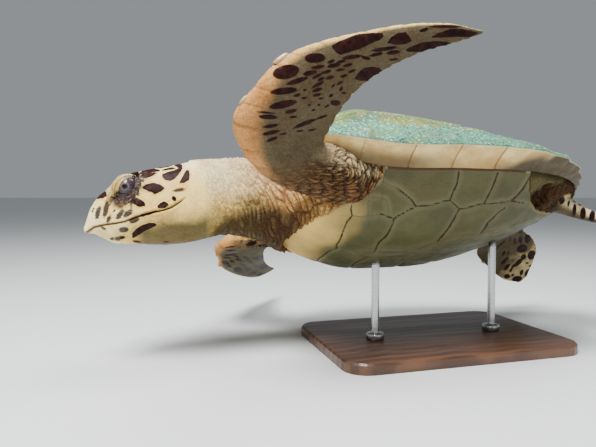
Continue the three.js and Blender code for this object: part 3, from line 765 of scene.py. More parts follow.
FAR_REAR_SPOTS = [
    (520.8, 232, 2.5, 1.8, 0), (527.8, 238, 5.5, 3.2, 80), (520.5, 239.5, 3.8, 2, 90),
    (514.8, 240.5, 3.6, 1.7, 90),
    (510.3, 239.5, 3, 1, 80), (522, 248.5, 5.4, 4, 30), (531.5, 255, 5, 3.8, 60), (523.5, 257, 3.2, 2.5, 50),
    (503.8, 253.5, 2.8, 1.3, 60), (508, 253, 1.8, .9, 60), (504.8, 260.8, 5, 1.6, 45), (507, 267, 4.4, 1.7, 50),
    (511, 270, 2.6, 1.3, 60), (531, 266, 2.2, 1.3, 0), (529, 273, 5, 3.8, 40), (521.5, 272.5, 3.2, 1.7, 70),
    (517, 279, 5.2, 3, 10), (507, 276.3, 3.2, 2.4, 0), (518.5, 262.5, 5.4, 2.2, 45), (513.5, 266, 3, 1.3, 40),
    (527, 263, 1.6, 1, 0), (512.5, 275, 1.8, 1.2, 30), (501, 244, 6, 1, 40), (495, 250, 5, .9, 42)]
REAR_SPOTS = [
    (562, 200.2, 4.2, 2.8, 80), (568.6, 203.6, 3.4, 1.2, 80), (574.4, 210, 6.4, 2, 85),
    (583, 213.4, 6.4, 2.9, 85), (592, 216.6, 6.8, 3, 80), (574.5, 201.4, 1.9, .9, -10),
    (580.5, 204.5, 2.8, 1.3, -5), (588, 206.6, 2.4, 1.6, 0)]
# the crown's plates: along the head, to the side
CROWN = [(151, 7), (131, 10), (112, 0), (104, 25), (80, 0), (48, 17), (70, 32), (22, 0), (20, 28), (44, 40)]
EYE_OPENING = {"length": 20.5, "upper": 9.8, "lower": 10.8, "tilt": 38, "centre": (127, 186.5)}
PUPIL_PIXEL = (124, 187)
SHOULDER = ((235, 168), (346, 172))  # the line the shoulder's folds run along and round

CREAM = rgb(244, 214, 128)
IVORY = rgb(248, 236, 188)
PALE = rgb(238, 220, 158)
TAN = rgb(214, 156, 92)
FOLD = rgb(116, 62, 30)
# painted shade: the near black put in creases, folds and hollows
DEEP_SHADE = rgb(40, 18, 12)
# painted shade for the undersides of the head and neck
UNDERSIDE_SHADE = rgb(50, 50, 38)
# the flippers' underside grey, darkened as painted shade
FLIPPER_UNDERSIDE_SHADED = rgb(98, 88, 66)
SHOULDER_SKIN = rgb(106, 82, 56)
# the far front flipper's underside grey, darkened as painted shade
FAR_UNDERSIDE_SHADED = rgb(108, 104, 78)
# painted shade for the flesh under the rear rim plates
SHELF_SHADE = rgb(104, 98, 66)
YELLOW = rgb(234, 196, 104)
EYE_SKIN = rgb(92, 62, 54)
LID_EDGE = rgb(112, 100, 100)

READ = {"front_left": (FLIPPER_SPOTS, FLIPPER_PATCHES), "front_right": (FAR_FRONT_SPOTS, {}),
        "rear_left": (REAR_SPOTS, {}), "rear_right": (FAR_REAR_SPOTS, {})}
DORSAL = {"front_left": 1, "front_right": -1, "rear_left": 1, "rear_right": -1}
# rows, and the part of the chord the tan leading edge reaches there
TAN_EDGE = {"front_left": ([1.6, 3, 4, 5, 6, 8], [.1, .34, .26, .16, .12, .1]), "rear_left": ([0, 1], [.1, .1]),
            "front_right": ([1.6, 3, 4, 6], [.16, .12, .08, .06]), "rear_right": ([0, 1], [.1, .1])}
BIG_FROM = {"front": 5.2, "rear": 2.0}  # row from which a flipper's scales are all large


def skin_blank():
    """All the flesh as one closed mesh of even steps, in the turtle frame."""
    head = head_out(head_surface(np.linspace(-40, 181, 150), circle(120)).reshape(-1, 3))
    lofts = [closed_loft(head.reshape(150, 120, 3)), tube(NECK, 90, 96), tube(TAIL, 60, 48)]
    lofts += [closed_loft(grid) for grid in LIMB_GRIDS.values()]
    trunk = NODES["trunk"].data
    lofts.append((from_row(coordinates(trunk)), np.zeros((0, 4), int), triangles(trunk)))
    starts = np.cumsum([0] + [len(p) for p, _, _ in lofts])
    rough = make_object("rough_skin", np.concatenate([p for p, _, _ in lofts]),
                        np.concatenate([q + s for (_, q, _), s in zip(lofts, starts)]),
                        np.concatenate([f + s for (_, _, f), s in zip(lofts, starts)]))
    remesh = rough.modifiers.new("remesh", "REMESH")
    remesh.mode, remesh.voxel_size, remesh.adaptivity = "VOXEL", VOXEL, 0
    graph = bpy.context.evaluated_depsgraph_get()
    mesh = bpy.data.meshes.new_from_object(rough.evaluated_get(graph))
    bpy.data.objects.remove(rough)
    mesh.materials.clear()
    return mesh


def refine(mesh, chosen):
    """Splits the faces whose centre is chosen in four."""
    picked = np.flatnonzero(chosen(read(mesh.polygons, "center", 3, np.float32).astype(float)))
    bm = bmesh.new()
    bm.from_mesh(mesh)
    bm.faces.ensure_lookup_table()
    edges = {e for i in picked for e in bm.faces[i].edges}
    bmesh.ops.subdivide_edges(bm, edges=sorted(edges, key=lambda e: e.index), cuts=1,
                              use_grid_fill=True, use_single_edge=True)
    bm.to_mesh(mesh)
    bm.free()


def on_head(points, from_a=-8.0):
    p = head_in(points)
    return (p[:, 0] > from_a) & (np.abs(p[:, 1]) < 62) & (np.abs(p[:, 2]) < 82)


def near_eye(points, reach=33.0):
    p = head_in(points)
    return np.linalg.norm(np.stack([p[:, 0], np.abs(p[:, 1]), p[:, 2]], -1) - EYE_AT, axis=1) < reach


def snap_head(points):
    """Puts head points back on the exact head surface."""
    chosen = np.flatnonzero(on_head(points, 6))
    p = head_in(points[chosen])
    a, y, h = p.T
    y0, h0 = y.copy(), h.copy()
    for _ in range(5):
        out, rise = orbit_swell(a, y0, h0)
        y0, h0 = y - out, h - rise
    top, bottom, half, power = np.moveaxis(profile(HEAD, a), -1, 0)
    middle, high = (top + bottom) / 2, (top - bottom) / 2
    reach = ((np.abs(y0) / half) ** power + (np.abs(h0 - middle) / high) ** power) ** (1 / power)
    scale = 1 / np.maximum(reach, 0.3)
    y1, h1 = y0 * scale, middle + (h0 - middle) * scale
    out, rise = orbit_swell(a, y1, h1)
    part = smooth(6, 26, a) * (1 - smooth(162, 174, a)) * (reach > 0.7)
    p[:, 1], p[:, 2] = mix(y, y1 + out, part), mix(h, h1 + rise, part)
    points = points.copy()
    points[chosen] = head_out(p)
    return points


def eye_axes():
    """Head frame, left eye: its centre, the way it looks, and the opening's long and short ways."""
    centre = np.array(EYE_AT) * (1, -1, 1)

    def towards(pixel):
        ray, start = pixel_ray(*pixel)
        origin = head_in(start[None])[0]
        ray = (ray @ HEAD_TURN) * (-1, 1, 1)
        b = ray @ (origin - centre)
        c = (origin - centre) @ (origin - centre) - EYE_RADIUS ** 2
        return unit(origin + ray * (-b - math.sqrt(max(b * b - c, 0))) - centre)

    out = towards(EYE_OPENING["centre"])
    out = unit(out * (1, 1.5, 1))
    tilt = math.radians(EYE_OPENING["tilt"])
    rear = np.array([-math.cos(tilt), 0, math.sin(tilt)])
    long_way = unit(rear - out * (rear @ out))
    return centre, out, long_way, np.cross(long_way, out), unit(towards(PUPIL_PIXEL) * (1, 1.3, 1))


EYE_CENTRE, EYE_OUT, EYE_LONG, EYE_SHORT, EYE_GAZE = eye_axes()
if EYE_SHORT[2] < 0:
    EYE_SHORT = -EYE_SHORT


def lid_places(p):
    """Head frame points, folded to the left side, as distances along and across the eye's opening."""
    d = left_side(p) - EYE_CENTRE
    r = np.linalg.norm(d, axis=1)
    d = d / np.maximum(r, 1e-6)[:, None]
    off = np.arccos(np.clip(d @ EYE_OUT, -1, 1))
    l, s = d @ EYE_LONG, d @ EYE_SHORT
    flat = np.maximum(np.hypot(l, s), 1e-6)
    return EYE_RADIUS * off * l / flat, EYE_RADIUS * off * s / flat, r, d, off


def lid_gap(along, across):
    """Signed distance outside the almond opening, about in mm."""
    reach = np.where(across > 0, EYE_OPENING["upper"], EYE_OPENING["lower"])
    part = np.abs(along) / EYE_OPENING["length"]
    edge = reach * np.maximum(1 - part ** 2.2, -1.5)
    return np.maximum((np.abs(across) - edge) * 0.85, (part - 1) * EYE_OPENING["length"] * 0.9)


def head_marks(p, n):
    """Depth inside the head's dark and faint markings, at head frame points with normals n."""
    a, y, h = p.T
    # what the camera sees of the left side, mirrored on the right
    mirrored = left_side(p)
    n_left = n * np.stack([np.ones(len(p)), np.where(y > 0, -1, 1), np.ones(len(p))], -1)
    seen = facing(head_out(mirrored), (n_left * (-1, 1, 1)) @ HEAD_TURN.T)
    spot = pixels(head_out(mirrored))
    mark = markings(spot, HEAD_SPOTS, HEAD_PATCHES, HEAD_PIXEL)
    mark = np.minimum(mark, (seen - 0.1) * 30)
    faint = np.minimum(spots_depth(spot, FAINT_SPOTS) * HEAD_PIXEL, (seen - 0.1) * 30)
    # the crown's plates
    seeds = np.array([(ca, s * cy) for ca, cy in CROWN for s in ((1, -1) if cy else (1,))], float)
    wobble = wander(p, 12, 5, 6) * 1.6
    d = np.sort(np.linalg.norm((np.stack([a, y], -1) + wobble)[:, None] - seeds[None], axis=2), axis=1)
    crown = np.minimum((d[:, 1] - d[:, 0]) / 2 - 1.8, (n[:, 2] - 0.7) * 45)
    crown = np.minimum(crown, np.minimum((a - 26 - 5 * np.cos(y / 9)) * 0.8, (162 - a) * 0.8))
    # brown beads on the lower lid
    along, across, r, direction, off = lid_places(p)
    around = np.where((off < 1.55) & (r < 31), lid_gap(along, across), 99)
    one, _, _ = cells(p / 3.4, 42)
    beads = np.minimum((0.5 - one) * 6, np.minimum(around + 0.5, 10.5 - around))
    faint = np.maximum(faint, np.minimum(beads, 3 - across * 0.6))
    return np.maximum(mark, crown), faint


def gape_level(a):
    """Height of the mouth line at stations a."""
    return np.interp(a, *np.array(MOUTH[::-1]).T)


def head_skin(points, normals):
    """Height changes and markings of the head's skin."""
    p = head_in(points)
    a, y, h = p.T
    flat = np.stack([a, h], -1)
    lift = np.zeros(len(p))
    n = (normals @ HEAD_TURN) * (-1, 1, 1)
    mark, _ = head_marks(p, n)
    lift += 0.45 * smooth(-1.2, 0.8, mark)
    lift -= 0.35 * bell(mark + 1.4, 1.0)
    # cheek plates: shallow seams between the cream ones
    cheek = cracks(p / (17, 17, 15), 3) * 8
    on_cheek = smooth(8, 30, a) * (1 - smooth(120, 140, a))
    lift -= 0.3 * bell(cheek, 0.9) * on_cheek * (mark < -2)
    # mouth line and lips
    gape = line_distance(flat, MOUTH)
    line = smooth(24, 40, a)
    lift -= 4.2 * bell(gape, 1.6) * line
    lift += 0.7 * bell(gape - 4.2, 2.4) * line
    # the crease along the mouth line is later painted with shade
    crease = bell(gape, 1.9) * line
    # where the beak's plates cover the skin
    above = h > gape_level(a)
    under = np.where(above, polygon_depth(flat, UPPER_HORN), polygon_depth(flat, LOWER_HORN))
    under = smooth(0.3, 3.0, under) * (a > 95)
    lift = mix(lift, -2.4, under)
    # lids
    along, across, r, direction, off = lid_places(p)
    gap = lid_gap(along, across)
    near = (off < 1.55) & (r < 42)
    around = np.where(near, gap, 99)
    folds = bell(around - 3.4, 0.9) + 0.9 * bell(around - 6.6, 1.1) + 0.8 * bell(around - 10.5, 1.5)
    lift -= 0.75 * folds * (1 + 0.35 * waves(p, 9, 8))
    lift += 0.5 * bell(around - 5, 1.2) + 0.4 * bell(around - 8.4, 1.3)
    one, _, _ = cells(p / 2.6, 41)
    pebbles = smooth(1.0, 3.0, around) * (1 - smooth(9, 13, around))
    lift += 0.4 * (0.5 - one) * pebbles
    # the lid folds join the crease, later painted with shade
    crease = np.maximum(crease, 0.8 * folds * (around < 30))
    return {"p": p, "lift": lift, "mark": mark, "crease": crease, "normal": n}


def move_from_eye(p, direction, r, chosen):
    """Turtle frame points, the chosen ones put at distance r from the eye's centre, on their own side."""
    moved = EYE_CENTRE + direction * r[:, None]
    moved[:, 1] *= np.where(p[:, 1] > 0, -1, 1)
    return head_out(np.where(chosen[:, None], moved, p))


def drape_lids(points):
    """Pulls the skin over the eyeball: lids outside the opening, hidden behind the ball inside it."""
    p = head_in(points)
    along, across, r, direction, off = lid_places(p)
    gap = lid_gap(along, across)
    near = (off < 1.45) & (r < 42)
    shut = EYE_RADIUS + 1.5
    rim = mix(EYE_RADIUS - 2.4, shut, smooth(-0.7, 0.5, gap))
    lid = mix(shut, np.maximum(r, shut), smooth(1.5, 10, gap))
    target = np.where(gap < 0.9, rim, lid)
    new = np.where(near, target, r)
    return move_from_eye(p, direction, new, near & (new != r))


def bulge_lids(points):
    """Rounds the lids out as one bulge, beaded at its edge; also tells where points lie on it."""
    p = head_in(points)
    along, across, r, direction, off = lid_places(p)
    spot = pixels(head_out(left_side(p)))
    lids = np.where((off < 2.0) & (r < 48), polygon_depth(spot, LIDS) * HEAD_PIXEL, -20)
    gap = lid_gap(along, across)
    beads = np.abs(np.sin(np.arctan2(across, along) * 15)) * bell(lids - 2, 1.5)
    grain = cracks(p / 2.8, 41)
    grow = (2.2 + 2.6 * smooth(0, 18, -along)) * np.sqrt(np.clip(lids / 8, 0, 1)) + 0.7 * beads
    grow += 0.35 * smooth(0, 0.4, grain) * (lids > 0)
    grow = grow * smooth(0.8, 4.0, gap) - 0.8 * bell(lids + 0.5, 1.0)
    grow[lids < -4] = 0
    return move_from_eye(p, direction, r + grow, grow != 0), {
        "lids": lids, "gap": np.where(lids > -4, gap, 99), "across": across, "along": along, "beads": beads,
        "grain": grain}


def stadium(spots, start, end):
    """Distance from a short line in the photograph, and the way along it and round its end, in pixels."""
    start, way = np.array(start, float), np.array(end, float) - start
    length = np.linalg.norm(way)
    d = spots - start
    along, across = d @ way / length, np.abs(d @ np.array([-way[1], way[0]])) / length
    over = np.maximum(along - length, 0)
    return np.stack([np.hypot(over, across), np.minimum(along, length)
                     + np.arctan2(over, across) * np.hypot(over, across)], -1)


def limb_skin(name, points, normals):
    """Scales, folds and markings of one flipper."""
    at = limb_places(name, points)
    index, row, angle = at["index"], at["row"], at["angle"]
    p, n = points[index], normals[index]
    u = (1 - np.cos(angle)) / 2
    across = u * at["chord"]
    dorsal = np.sin(angle) * DORSAL[name] > 0
    front = name.startswith("front")
    big_from = BIG_FROM["front" if front else "rear"]
    flat = np.stack([at["length"], across + np.where(dorsal, 500, 0)], -1)
    flat = flat + wander(p, 16, 21, 22) * 2.2
    lead_zone = u < 0.3 - 0.04 * waves(p, 25, 23)
    big = lead_zone | (row > big_from)
    one, two, who_big = cells(flat / ((25, 16) if front else (15, 15)), 51)
    seam_big = (two - one) * (9 if front else 6.5)
    one, two, who_small = cells(flat / (11, 8), 52)
    seam_small = (two - one) * 4.4
    seam = np.where(big, seam_big, seam_small)
    who = np.where(big, who_big, who_small)
    scaly = smooth(1.4, 2.4, row) if front else smooth(0.8, 1.6, row)
    keep = np.where(dorsal, who < 0.93, who < np.where(big, 0.6 if front else 0.92, 0.4))
    margin = np.where(dorsal, np.where(big, 1.5, 0.9), np.where(big, 2.6 if front else 1.4, 1.5))
    mark = np.where(keep, seam - margin, -3.0)
    mark = np.minimum(mark, (row - (1.5 if front else 0.9)) * 14)
    mark = np.minimum(mark, np.where(dorsal, 9.0, (u - 0.075) * at["chord"] * 0.8))
    # the side the camera sees carries the markings of the photograph
    spot, (ovals, patches) = pixels(p), READ[name]
    seen_marks = markings(spot, ovals, patches, LIMB_PIXEL)
    seen = facing(p, n)
    mark = np.where(seen < 0.05, np.minimum(mark, -seen * 30 + 1.5), np.minimum(seen_marks, (seen - 0.03) * 80))
    lift = scaly * (0.35 * smooth(-1, 1.2, mark) - 0.35 * bell(seam, np.where(big, 1.1, 0.8)))
    # the leading edge: a row of broad plates
    pitch = 25.0
    local = (at["length"] / pitch + 0.12 * np.sin(at["length"] * 0.11)) % 1
    cross = np.minimum(local, 1 - local) * pitch
    broad = np.interp(row, *TAN_EDGE[name])
    edge = (1 - smooth(broad * 0.3, broad, u)) * front
    lift += scaly * edge * (0.7 * smooth(0, 4, cross) - 0.3)
    # the trailing edge: light scallops
    back = smooth(0.93, 1.0, u)
    scallop = np.abs(np.sin(at["length"] * math.pi / 21))
    # loose folds at the root, running along the limb and round the shoulder
    loose = 1 - smooth(1.0, 2.4, row) if front else 1 - smooth(0.35, 0.85, row)
    if front:
        spot = pixels(p * (1, np.where(name == "front_left", 1, -1), 1))
        bend = stadium(spot, *SHOULDER) * SHOULDER_PIXEL
    else:
        bend = np.stack([at["length"], across], -1)[:, ::-1]
    bend = bend + np.stack([waves(p, 15, 24), waves(p, 26, 25)], -1) * 4.4
    fold = cracks(bend / (4.3, 22), 53)
    lift += loose * (2.1 * (smooth(0, 0.5, fold) - 0.7) + 0.8 * smooth(0, 0.4, cracks(bend / (8, 11), 54)))
    fine = (1 - smooth(0, 0.3, cracks(bend / (3.6, 26), 55))) * smooth(1.0, 1.8, row)
    fine = fine * (1 - smooth(2.6, 4.0, row)) * front * (u > 0.3)
    lift -= 0.5 * fine
    # crease: the scale seams, darkened a little, and the fold creases, which get painted shade
    crease = np.maximum(0.4 * scaly * bell(seam, 0.8), 0.6 * fine)
    crease = np.maximum(loose * (1 - smooth(0.0, 0.36, fold)), crease)
    hold = 1 - smooth(3, 9, at["gap"])
    return {"index": index, "lift": lift, "mark": mark, "crease": crease, "edge": edge * scaly,
            "dorsal": dorsal, "hold": hold, "row": row, "loose": loose,
            "back": back * scallop * scaly, "cross": cross, "scaly": scaly,
            "ridge": smooth(0.3, 0.75, fold)}


def head_tint(look, lids, points):
    """Colours of the head's skin apart from its dark markings, with painted light on top and painted shade
    below and in the creases.
    """
    ahead, level = look["p"][:, 0], look["p"][:, 2]
    # painted shade: the head's downward-facing and low parts, laid on below in olive
    below = 1 - smooth(-0.62, -0.1, look["normal"][:, 2] + 0.1 * waves(points, 24, 68))
    low = 1 - smooth(-44, -30, level + 6 * waves(points, 24, 69) - 0.16 * ahead)
    below = np.maximum(below, low * (1 - smooth(60, 100, ahead)))
    lid = smooth(-0.6, 0.8, lids["lids"])
    lower = 1 - smooth(-1, 9, lids["across"])
    behind = smooth(2, 10, lids["along"])
    # painted shade in the lids' granule cracks and the furrow round them, stronger on the lower lid
    dark = np.maximum(0.8 * lid * (1 - smooth(0, 0.3, lids["grain"])) * (0.3 + 0.7 * lower),
                      0.85 * bell(lids["lids"] + 0.6, 0.9) * (1 - smooth(6, 20, lids["across"])))
    # painted light: ivory on upward faces and a yellow highlight on the upper lid's rim; painted shade in the
    # mouth line and lid folds
    return paint_over(
        CREAM, (IVORY, smooth(0.1, 0.8, look["normal"][:, 2])), (YELLOW, 0.7 * bell(look["mark"] + 1.8, 2.0)),
        (UNDERSIDE_SHADE, 0.85 * below * (1 - smooth(95, 125, ahead))), (EYE_SKIN, lid * (0.3 + 0.6 * lower)),
        (YELLOW, 0.8 * lid * bell(lids["gap"] - 2.5, 2.5) * (1 - lower)),
        (LID_EDGE, 0.85 * bell(lids["gap"] - 1.6, 2.4) * np.maximum(lower, behind)),
        (IVORY, 0.7 * lids["beads"] * (1 - 0.4 * lower)),
        (DEEP_SHADE, np.maximum(dark, np.clip(look["crease"], 0, 1) * 0.85)))


def skin():
    mesh = skin_blank()
    points, edges = coordinates(mesh), edge_pairs(mesh)
    soft = 1 - smooth(-2, 14, head_in(points)[:, 0]) * on_head(points, -2)
    for name in LIMBS:
        at = limb_places(name, points)
        hold = 1 - smooth(2, 9, at["gap"])
        soft[at["index"]] = np.minimum(soft[at["index"]], 1 - hold * smooth(0.5, 1.1, at["row"]))
    points = relaxed(points, edges, 1.0, 3, keep_volume=True)
    points = relaxed(points, edges, soft, 14)
    mesh.vertices.foreach_set("co", points.astype(np.float32).ravel())
    mesh.update()
    refine(mesh, on_head)
    refine(mesh, near_eye)
    points, edges, tris = coordinates(mesh), edge_pairs(mesh), triangles(mesh)
    points = relaxed(points, edges, on_head(points).astype(float), 2, keep_volume=True)
    points = snap_head(points)
    normals = point_normals(points, tris)
    count = len(points)
    lift, mark, crease = np.zeros(count), np.full(count, -9.0), np.zeros(count)
    faint, grain = np.full(count, -9.0), np.full(count, 1.0)
    up = (normals @ POSTURE.T)[:, 2]

    # neck and trunk: folds round the neck, finer and pebbled on top
    p = points + wander(points, 40, 61, 62, 63) * 5
    a = head_in(points)[:, 0]
    neck = 1 - smooth(-14, 14, a)
    depth = np.interp(-a, [-10, 20, 50, 90, 130], [0.6, 1.5, 2.8, 4.0, 4.2])
    lean = p + np.stack([0.35 * p[:, 2], np.zeros(count), np.zeros(count)], -1)
    wide = np.interp(-a, [0, 60, 120], [4.6, 6.2, 8.6])
    fold = cracks(lean / np.stack([7 + 0 * wide, 5.2 * wide, 4.2 * wide], -1), 64)
    short = cracks(p / (11, 15, 13), 66)
    pebble = cracks(p / (5.2, 6.5, 6.5), 65)
    top = smooth(0.4, 0.9, up) * (1 - smooth(25, 70, -a))
    lift += neck * mix(depth * (smooth(0, 0.45, fold) - 0.7), 0.5 * smooth(0, 0.4, pebble), top)
    lift += neck * (0.4 * smooth(0, 0.4, pebble) + 0.25 * depth * smooth(0, 0.3, short))
    crease = neck * np.maximum((1 - smooth(0, 0.26, fold)) * (1 - top) * np.minimum(depth / 2.6, 1),
                               0.65 * (1 - smooth(0, 0.22, np.minimum(pebble, short))))
    # ivory on skin facing up, cream elsewhere: partly the skin's own pale tone, partly painted light from above
    tint = paint(IVORY, CREAM, 1 - smooth(-0.2, 0.6, up))
    base_of_neck = smooth(50, 120, -a)
    tint = paint(tint, TAN, 0.55 * neck * base_of_neck * (1 - top))
    ridge = smooth(0.25, 0.7, fold) * (1 - top)
    # painted highlight: pale on the upward-facing fold ridges
    tint = paint(tint, PALE, 0.6 * ridge * neck * smooth(-0.1, 0.5, up))
    # painted shade: the neck's underside and lower side turned dark olive
    behind_head = smooth(-5, 75, -a)
    under = 1 - smooth(-0.46, 0.3, up + 0.5 * (1 - behind_head) + 0.16 * waves(points, 30, 67))
    tint = paint(tint, UNDERSIDE_SHADE, 0.92 * under * neck * (1 - smooth(120, 170, -a)) * (1 - 0.12 * ridge))
    # neck creases painted darker: reddish brown on top, near black on the underside; partly the creases' own
    # colour, partly painted shade
    crease_tone_and_shade = paint(DEEP_SHADE, FOLD, 0.3 + 0.5 * (1 - under))
    tint = paint(tint, crease_tone_and_shade, crease * (0.5 + 0.4 * base_of_neck) * neck)
    # painted shade in the hollow round the rear flippers and under the tail
    hollow_shade = smooth(100, 125, points[:, 0]) * smooth(10, 26, np.abs(points[:, 1]) + 0.12 * (points[:, 2] < 0))
    tint = paint(tint, DEEP_SHADE, 0.9 * hollow_shade)

    # head
    head = np.flatnonzero(on_head(points, -20))
    look = head_skin(points[head], normals[head])
    part = smooth(-16, 6, look["p"][:, 0])
    lift[head] = mix(lift[head], look["lift"], part)
    crease[head] = mix(crease[head], look["crease"], part)
    grain[head] = mix(1.0, 0.35, part)

    # flippers
    for name in LIMBS:
        limb = limb_skin(name, points, normals)
        i, hold = limb["index"], limb["hold"]
        lift[i] = mix(lift[i], limb["lift"], hold)
        mark[i] = np.maximum(mark[i], np.where(hold > 0.5, limb["mark"], -9))
        crease[i] = mix(crease[i], limb["crease"], hold)
        front = name.startswith("front")
        # yellow on top; the underside a grey darkened as painted shade
        base = np.where(limb["dorsal"][:, None], YELLOW, FLIPPER_UNDERSIDE_SHADED)
        # painted light: the near rear flipper ivory wherever it does not face down
        if name == "rear_left":
            base = paint(base, IVORY, smooth(-0.9, 0.2, up[i]))
        if name == "rear_right":
            base = paint(base, PALE, 0.75 * smooth(2.9, 4.4, limb["row"] + 0.6 * waves(points[i], 14, 91)))
        # the far front flipper's underside: a grey darkened as painted shade
        if name == "front_right":
            base = paint(base, FAR_UNDERSIDE_SHADED, ~limb["dorsal"] * 1.0)
        loose = limb["loose"]
        # root skin: shoulder colour on the front flippers, painted shade at the rear ones' roots
        base = paint(base, SHOULDER_SKIN if front else DEEP_SHADE, loose * (0.3 if name == "front_right" else 1))
        # painted highlight: ivory on the fold ridges of the lit, upward-facing shoulder; tan on the other
        # ridges
        if front:
            lit = smooth(-7, 5, polygon_depth(pixels(points[i]), SHOULDER_LIGHT)) * (points[i, 1] < 0)
            bright = np.maximum(smooth(-0.3, 0.35, up[i]), lit) * np.maximum(limb["ridge"], 0.55 * lit)
            base = paint(base, IVORY, loose * bright)
            base = paint(base, TAN, 0.35 * loose * limb["ridge"] * (1 - bright))
        tip = smooth(4, 6.5, limb["row"])
        base = paint(base, paint(TAN, CREAM, tip), 0.95 * limb["edge"] ** 1.2)
        # painted shade in the fold creases, deeper on the loose root skin; the scale seams darken too
        base = paint(base, DEEP_SHADE, np.clip(limb["crease"], 0, 1) * (0.45 + 0.5 * limb["loose"]))
        base = paint(base, FOLD, 0.6 * limb["edge"] * bell(limb["cross"], 1.2))
        tint[i] = paint(tint[i], base, hold)
        grain[i] = mix(grain[i], 0.6, hold * limb["scaly"])
        lift[i] += -1.6 * limb["back"] * hold

    # painted shade: the flesh under the rear rim plates painted flat olive, its relief flattened and its
    # markings removed
    shelf = smooth(-1.5, 1.5, polygon_depth(pixels(points), SHELF)) * (points[:, 0] > 60) * (points[:, 1] < 0)
    shelf = shelf * (1 - smooth(-10, 10, points[:, 1] + 40))
    tint = paint(tint, SHELF_SHADE, shelf)
    lift = lift * (1 - 0.8 * shelf)
    mark = np.where(shelf > 0.3, -9, mark)
    points = points + normals * lift[:, None]
    points[head], lids = bulge_lids(drape_lids(points[head]))
    new_mark, new_faint = head_marks(head_in(points[head]), look["normal"])
    new_mark = np.where(lids["lids"] > 0, -9, new_mark)
    mark[head] = np.where(part > 0.02, np.maximum(new_mark, mark[head]), mark[head])
    faint[head] = np.where(part > 0.02, new_faint, -9)
    tint[head] = paint(tint[head], head_tint(look, lids, points[head]), part)
    points = inside_shell(points)
    mesh.vertices.foreach_set("co", to_row(points).astype(np.float32).ravel())
    mesh.polygons.foreach_set("use_smooth", np.ones(len(mesh.polygons), bool))
    mesh.update()
    set_floats(mesh, mark=mark, crease=np.clip(crease, 0, 1), faint=faint, grain=grain)
    set_tint(mesh, tint)
    mesh.name = "skin"
    obj = bpy.data.objects.new("skin", mesh)
    bpy.context.scene.collection.objects.link(obj)
    print("skin faces", len(mesh.polygons))
    return obj


def plan_width(x):
    plan = np.array(BELLY_PLAN, float)
    return np.minimum(np.interp(x, plan[:, 0], plan[:, 1], left=0, right=0), SEAM_AT * half_width(x))


def inside_shell(points):
    """Keeps the flesh above the belly shell's plate and below the back shell's."""
    x, y, z = points.T
    q = np.clip(np.abs(y) / half_width(x), 0, 1)
    covered = (x > BELLY_PLAN[0][0] + 1) & (x < BELLY_PLAN[-1][0] - 1) & (np.abs(y) < plan_width(x) + 0.8)
    floor = belly_height(x, q) + BELLY_PLATE - 1.5
    z = np.where(covered, np.maximum(z, floor), z)
    roofed = (np.abs(x) < SHELL_LENGTH / 2 - 3) & (q < 0.995)
    roof = back_height(x, q) - SHELL_PLATE + 2.5
    return np.stack([x, y, np.where(roofed, np.minimum(z, np.maximum(roof, belly_height(x, q) + 2)), z)], -1)


def skin_look():
    look = Look("skin", Specular_IOR_Level=0.08)
    tint, mark, grain = look.field("tint", colour=True), look.field("mark"), look.field("grain")
    mottle = look.noise(26, 4)
    pits = look.grains(1.6)
    # dark plates: sharp but slightly uneven edges
    uneven = look.calc("MULTIPLY_ADD", look.noise(5, 3), 1.3)
    uneven.node.inputs[2].default_value = -0.65
    edge = look.calc("ADD", mark, uneven)
    dark = look.layers(rgb(24, 8, 9), (look.noise(9, 4), (0.35, 0.7), (50, 22, 18)))
    colour = look.layers(
        tint, (mottle, (0.42, 0.7, 0, 0.35), (214, 168, 104), "MULTIPLY"),
        (look.noise(3.2, 3), (0.35, 0.75, 0, 0.3), (128, 100, 64), "MULTIPLY"),
        (look.calc("MULTIPLY", look.step(pits, 0.25, 0.6, 0, 0.5), grain), None, (150, 118, 88), "MULTIPLY"),
        (look.calc("ADD", look.field("faint"), uneven), (-1.4, 0.5, 0, 0.96), (44, 34, 34)),
        (edge, (-0.55, 0.55), dark))
    rough = look.calc("ADD", look.step(edge, -0.5, 0.5, 0.6, 0.46), look.step(mottle, 0.3, 0.7, -0.06, 0.08))
    normal = look.bump(look.calc("MULTIPLY", pits, grain), 0.5, 0.8)
    normal = look.bump(look.noise(1.4, 3), 0.18, 0.7, normal)
    return look.finish(colour, rough, look.bump(look.noise(6, 3), 0.5, 0.6, normal))


finish_piece(skin(), skin_look(), "skin", "trunk", "neck", "head", "lower_jaw",
             "flipper_front_left", "flipper_front_right", "flipper_rear_left", "flipper_rear_right", "tail")


# ---- the shell ----
VERTEBRAL_SEAMS = (0.0, 0.04, 0.17, 0.36, 0.56, 0.76, 0.95, 1.0)
VERTEBRAL_HALF = [[0, 10], [.04, 24], [.1, 54], [.17, 40], [.25, 74], [.36, 44], [.45, 72], [.56, 40],
                  [.65, 64], [.76, 32], [.84, 50], [.95, 18], [1, 8]]
COSTAL_SEAMS = (0.0, 0.24, 0.44, 0.64, 0.83, 1.0)
COSTAL_EDGE = 0.76  # part of the half width where the marginal plates begin
MIDLINE = -14  # the belly shell's middle seam runs this far to the left
